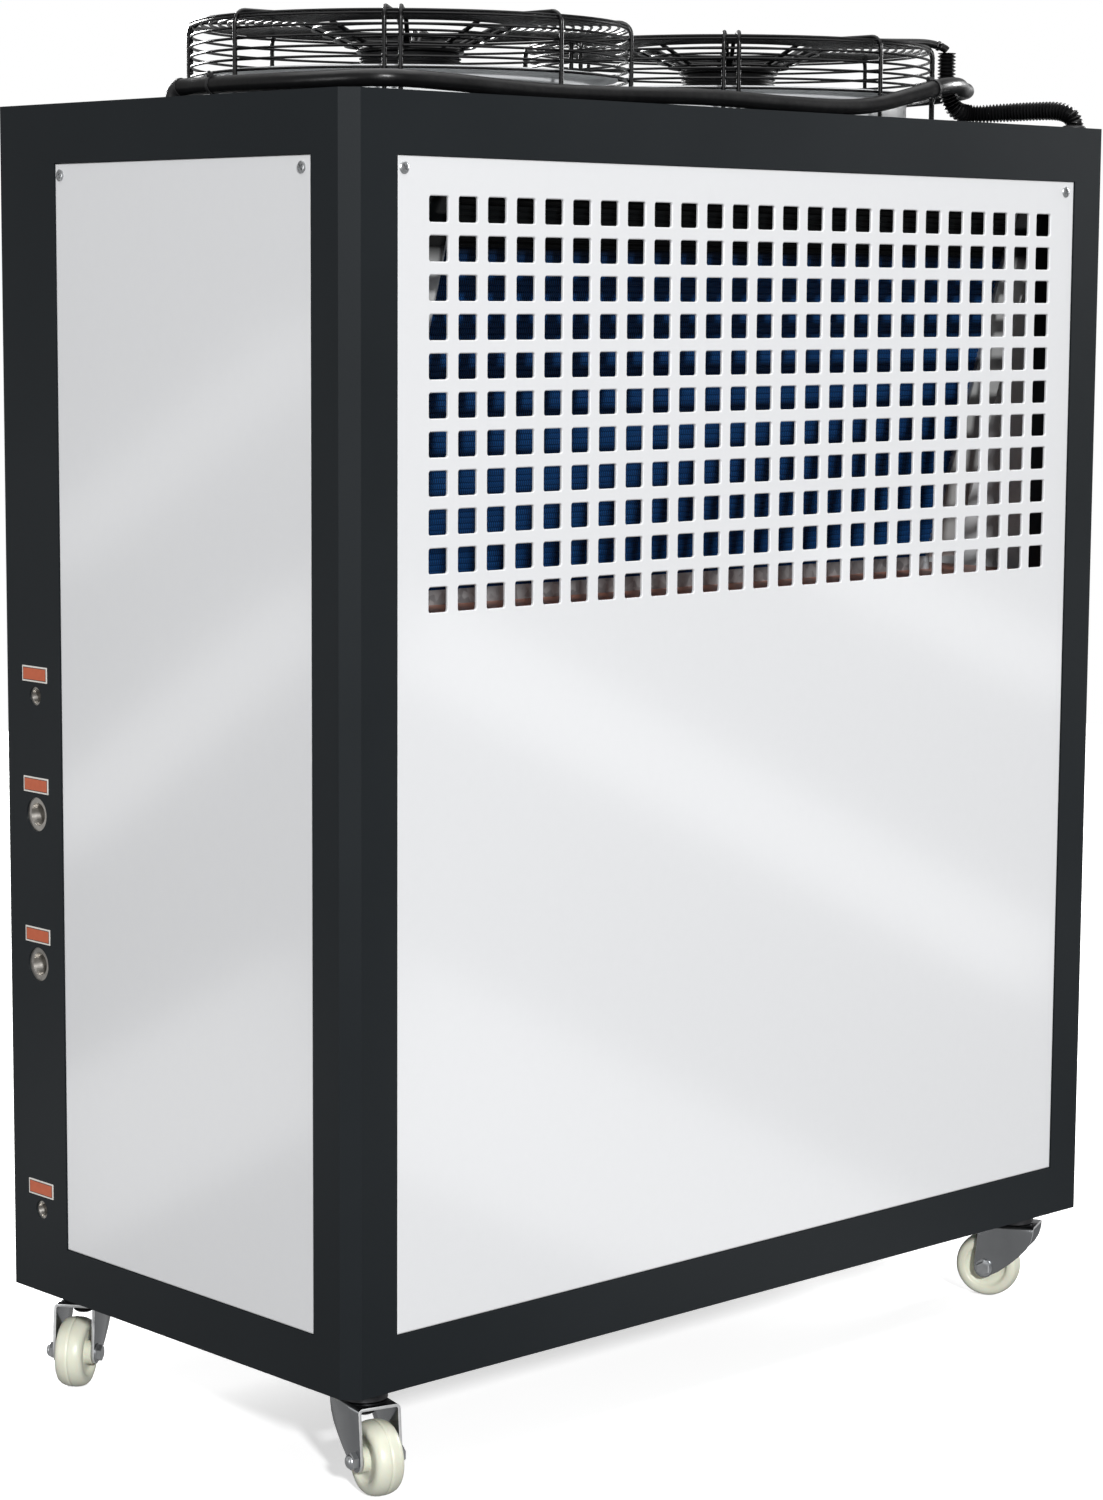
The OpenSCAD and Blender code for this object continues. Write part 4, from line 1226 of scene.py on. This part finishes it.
zinc_sheet = Finish("zinc_plated_sheet", Metallic=1.0)
zinc_sheet.mottle(30, 3, (142, 144, 147), (164, 166, 168), (0.16, 0.08))
zinc_sheet.grain(260, 2, 0.01 * MM)
# The cut edges are painted lighter than the sheet: a painted highlight along the fork's edges.
zinc_edge_highlight = Finish("zinc_plated_cut_edge", Metallic=0.7)
zinc_edge_highlight.mottle(200, 2, (200, 201, 202), (228, 229, 230), (0.3, 0.1))
# The top plates and swivel pins are painted dark: painted shade for parts that sit in shadow under the base
# and the fork's crown.
dark_shade_plate = Finish("dark_plate_steel", Metallic=0.7)
dark_shade_plate.mottle(70, 3, (40, 40, 42), (62, 62, 64), (0.34, 0.15))
dark_shade_plate.grain(700, 2, 0.04 * MM)
dark_shade_plate.dress("caster_top_plates")
ivory = Finish("ivory_nylon", Subsurface_Weight=0.12, Subsurface_Scale=4 * MM)
ivory.mottle(28, 4, (206, 207, 186), (222, 223, 208), (0.28, 0.16))
ivory.grain(400, 3, 0.06 * MM)

wheel_r = 37.5 * MM
trail = 28 * MM
crown_top = 91 * MM
fork_in, fork_t = 20 * MM, 3 * MM
caster_places = {"front_left": (-1, -1, -14), "front_right": (1, -1, -154), "rear_left": (-1, 1, -53),
                 "rear_right": (1, 1, 166)}
swivel_in = Vector((62 * MM, 53 * MM, 0))
axle_place = Matrix.Translation((0, -trail, wheel_r)) @ Matrix.Rotation(math.pi / 2, 4, "Y")


def arc(middle, radius, start, end, steps):
    """Points of an arc in a plane, from one angle to another in degrees."""
    turns = [math.radians(start + (end - start) * k / steps) for k in range(steps + 1)]
    return [(middle[0] + radius * math.cos(t), middle[1] + radius * math.sin(t)) for t in turns]


def fork_mesh():
    """A sheet bent to a channel and cut to the cheeks' outline: straight in front, bulging behind."""
    out = fork_in + fork_t
    foot = 20 * MM
    bent, inner_bend = 5 * MM, 2 * MM
    channel = [(-out, foot)] + arc((-out + bent, crown_top - bent), bent, 180, 90, 5)
    channel += arc((out - bent, crown_top - bent), bent, 90, 0, 5) + [(out, foot), (fork_in, foot)]
    channel += arc((fork_in - inner_bend, crown_top - fork_t - inner_bend), inner_bend, 0, 90, 3)
    channel += arc((-fork_in + inner_bend, crown_top - fork_t - inner_bend), inner_bend, 90, 180, 3)
    channel += [(-fork_in, foot)]
    reach = 60 * MM
    sheet = bar("fork", [(x, -reach, z) for x, z in channel], [(x, reach, z) for x, z in channel])
    cheek = [(-35, 101), (-35, 90), (-37, 70), (-39.6, 44)]
    cheek += [(y / MM, z / MM) for y, z in arc((-trail, wheel_r), 11.8 * MM, 172, 318, 10)]
    cheek += [(-11, 34), (2, 44), (13, 54), (22, 64), (27, 73), (29.4, 82), (30, 90), (30, 101)]
    outline = [Vector((0, y * MM, z * MM)) for y, z in cheek]
    fork = cut(sheet, extruded("cheeks", outline, -50 * MM, 50 * MM), "INTERSECT")
    fork = finished(fork, "BEVEL", width=0.6 * MM, segments=2, limit_method="ANGLE",
                    angle_limit=math.radians(40))
    return smooth(fork, 40)


def is_cut_edge(face):
    """Whether a face of an unmoved fork lies on the sheet's cut edge, not on its cheeks or crown."""
    below_crown = face.center.z < crown_top - 6 * MM
    return abs(face.normal.y) > 0.25 or below_crown and abs(face.normal.x) < 0.2


def axle_mesh():
    """Bolt shank, hexagon head with a washer, and a domed lock nut, along the wheel's axis."""
    out = fork_in + fork_t
    shank = [(0, -out), (5 * MM, -out), (5 * MM, out), (0, out)]
    head = [(0, out + 1.2 * MM), (9 * MM, out + 1.2 * MM), (9 * MM, out + 5 * MM), (7.6 * MM, out + 6 * MM),
            (0, out + 6 * MM)]
    washer = [(0, out), (10 * MM, out), (10 * MM, out + 1.4 * MM), (0, out + 1.4 * MM)]
    nut = [(0, -out), (9 * MM, -out), (9 * MM, -out - 5 * MM), (7.8 * MM, -out - 6.2 * MM),
           (0, -out - 6.2 * MM)]
    dome = [(0, -out - 5 * MM)] + [(r, -out - 6 * MM - 0.6 * z) for r, z in arc((0, 0), 7.2 * MM, 0, 90, 8)]
    return joined("axle", [lathe("axle_part", outline, steps) for outline, steps in (
        (shank, 32), (head, 6), (washer, 32), (nut, 6), (dome, 24))])


def wheel_mesh():
    """A moulded wheel: crowned tread with a fine parting line, sunk sides and a boss round the bore."""
    half = [(5.05, 19), (11.5, 19), (12.5, 18.2), (12.8, 11.5), (14.5, 10.4), (21.5, 10.4), (23.4, 11.4),
            (25, 14.2), (26.6, 15), (30.5, 15), (33.4, 14), (35.2, 11.8), (36.4, 9), (37.1, 6), (37.45, 3),
            (37.5, 1.4), (37.2, 0.9), (36.9, 0.4)]
    outline = [(r * MM, z * MM) for r, z in half] + [(r * MM, -z * MM) for r, z in reversed(half)]
    return smooth(lathe("wheel", outline, 80), 38)


def pin_mesh():
    """The dished washer and rivet head under a fork's crown, on the swivel's axis."""
    under = crown_top - fork_t
    profile = ((0, 0), (17, 0), (17, 4), (15, 6), (12, 6.5), (11, 11), (8, 13), (0, 13))
    return lathe("swivel_pin", [(r * MM, under - sunk * MM) for r, sunk in profile], 32)


fork_shape = fork_mesh()
pin_shape = pin_mesh()
cut_edges = [face.index for face in fork_shape.polygons if is_cut_edge(face)]
axle_shape = axle_mesh()
wheel_shape = wheel_mesh()
for place, (side_x, side_y, turn) in caster_places.items():
    stand = Vector((side_x * (cabinet_half.x - swivel_in.x), side_y * (cabinet_half.y - swivel_in.y), 0))
    at = Matrix.Translation(stand) @ Matrix.Rotation(math.radians(turn), 4, "Z")
    fork = piece("pressed_fork_" + place, moved(fork_shape.copy(), at), zinc_sheet, body="swivel_" + place,
                 replaced=("caster_fork_" + place,))
    fork.data.materials.append(zinc_edge_highlight.material)
    for index in cut_edges:
        fork.data.polygons[index].material_index = 1
    piece("swivel_pin_" + place, moved(pin_shape.copy(), at), dark_shade_plate)
    piece("axle_bolt_" + place, moved(axle_shape.copy(), at @ axle_place), zinc_bright,
          body="swivel_" + place, replaced=("caster_axle_" + place,))
    piece("nylon_wheel_" + place, moved(wheel_shape.copy(), at @ axle_place), ivory, body="wheel_" + place,
          replaced=("caster_wheel_" + place,))
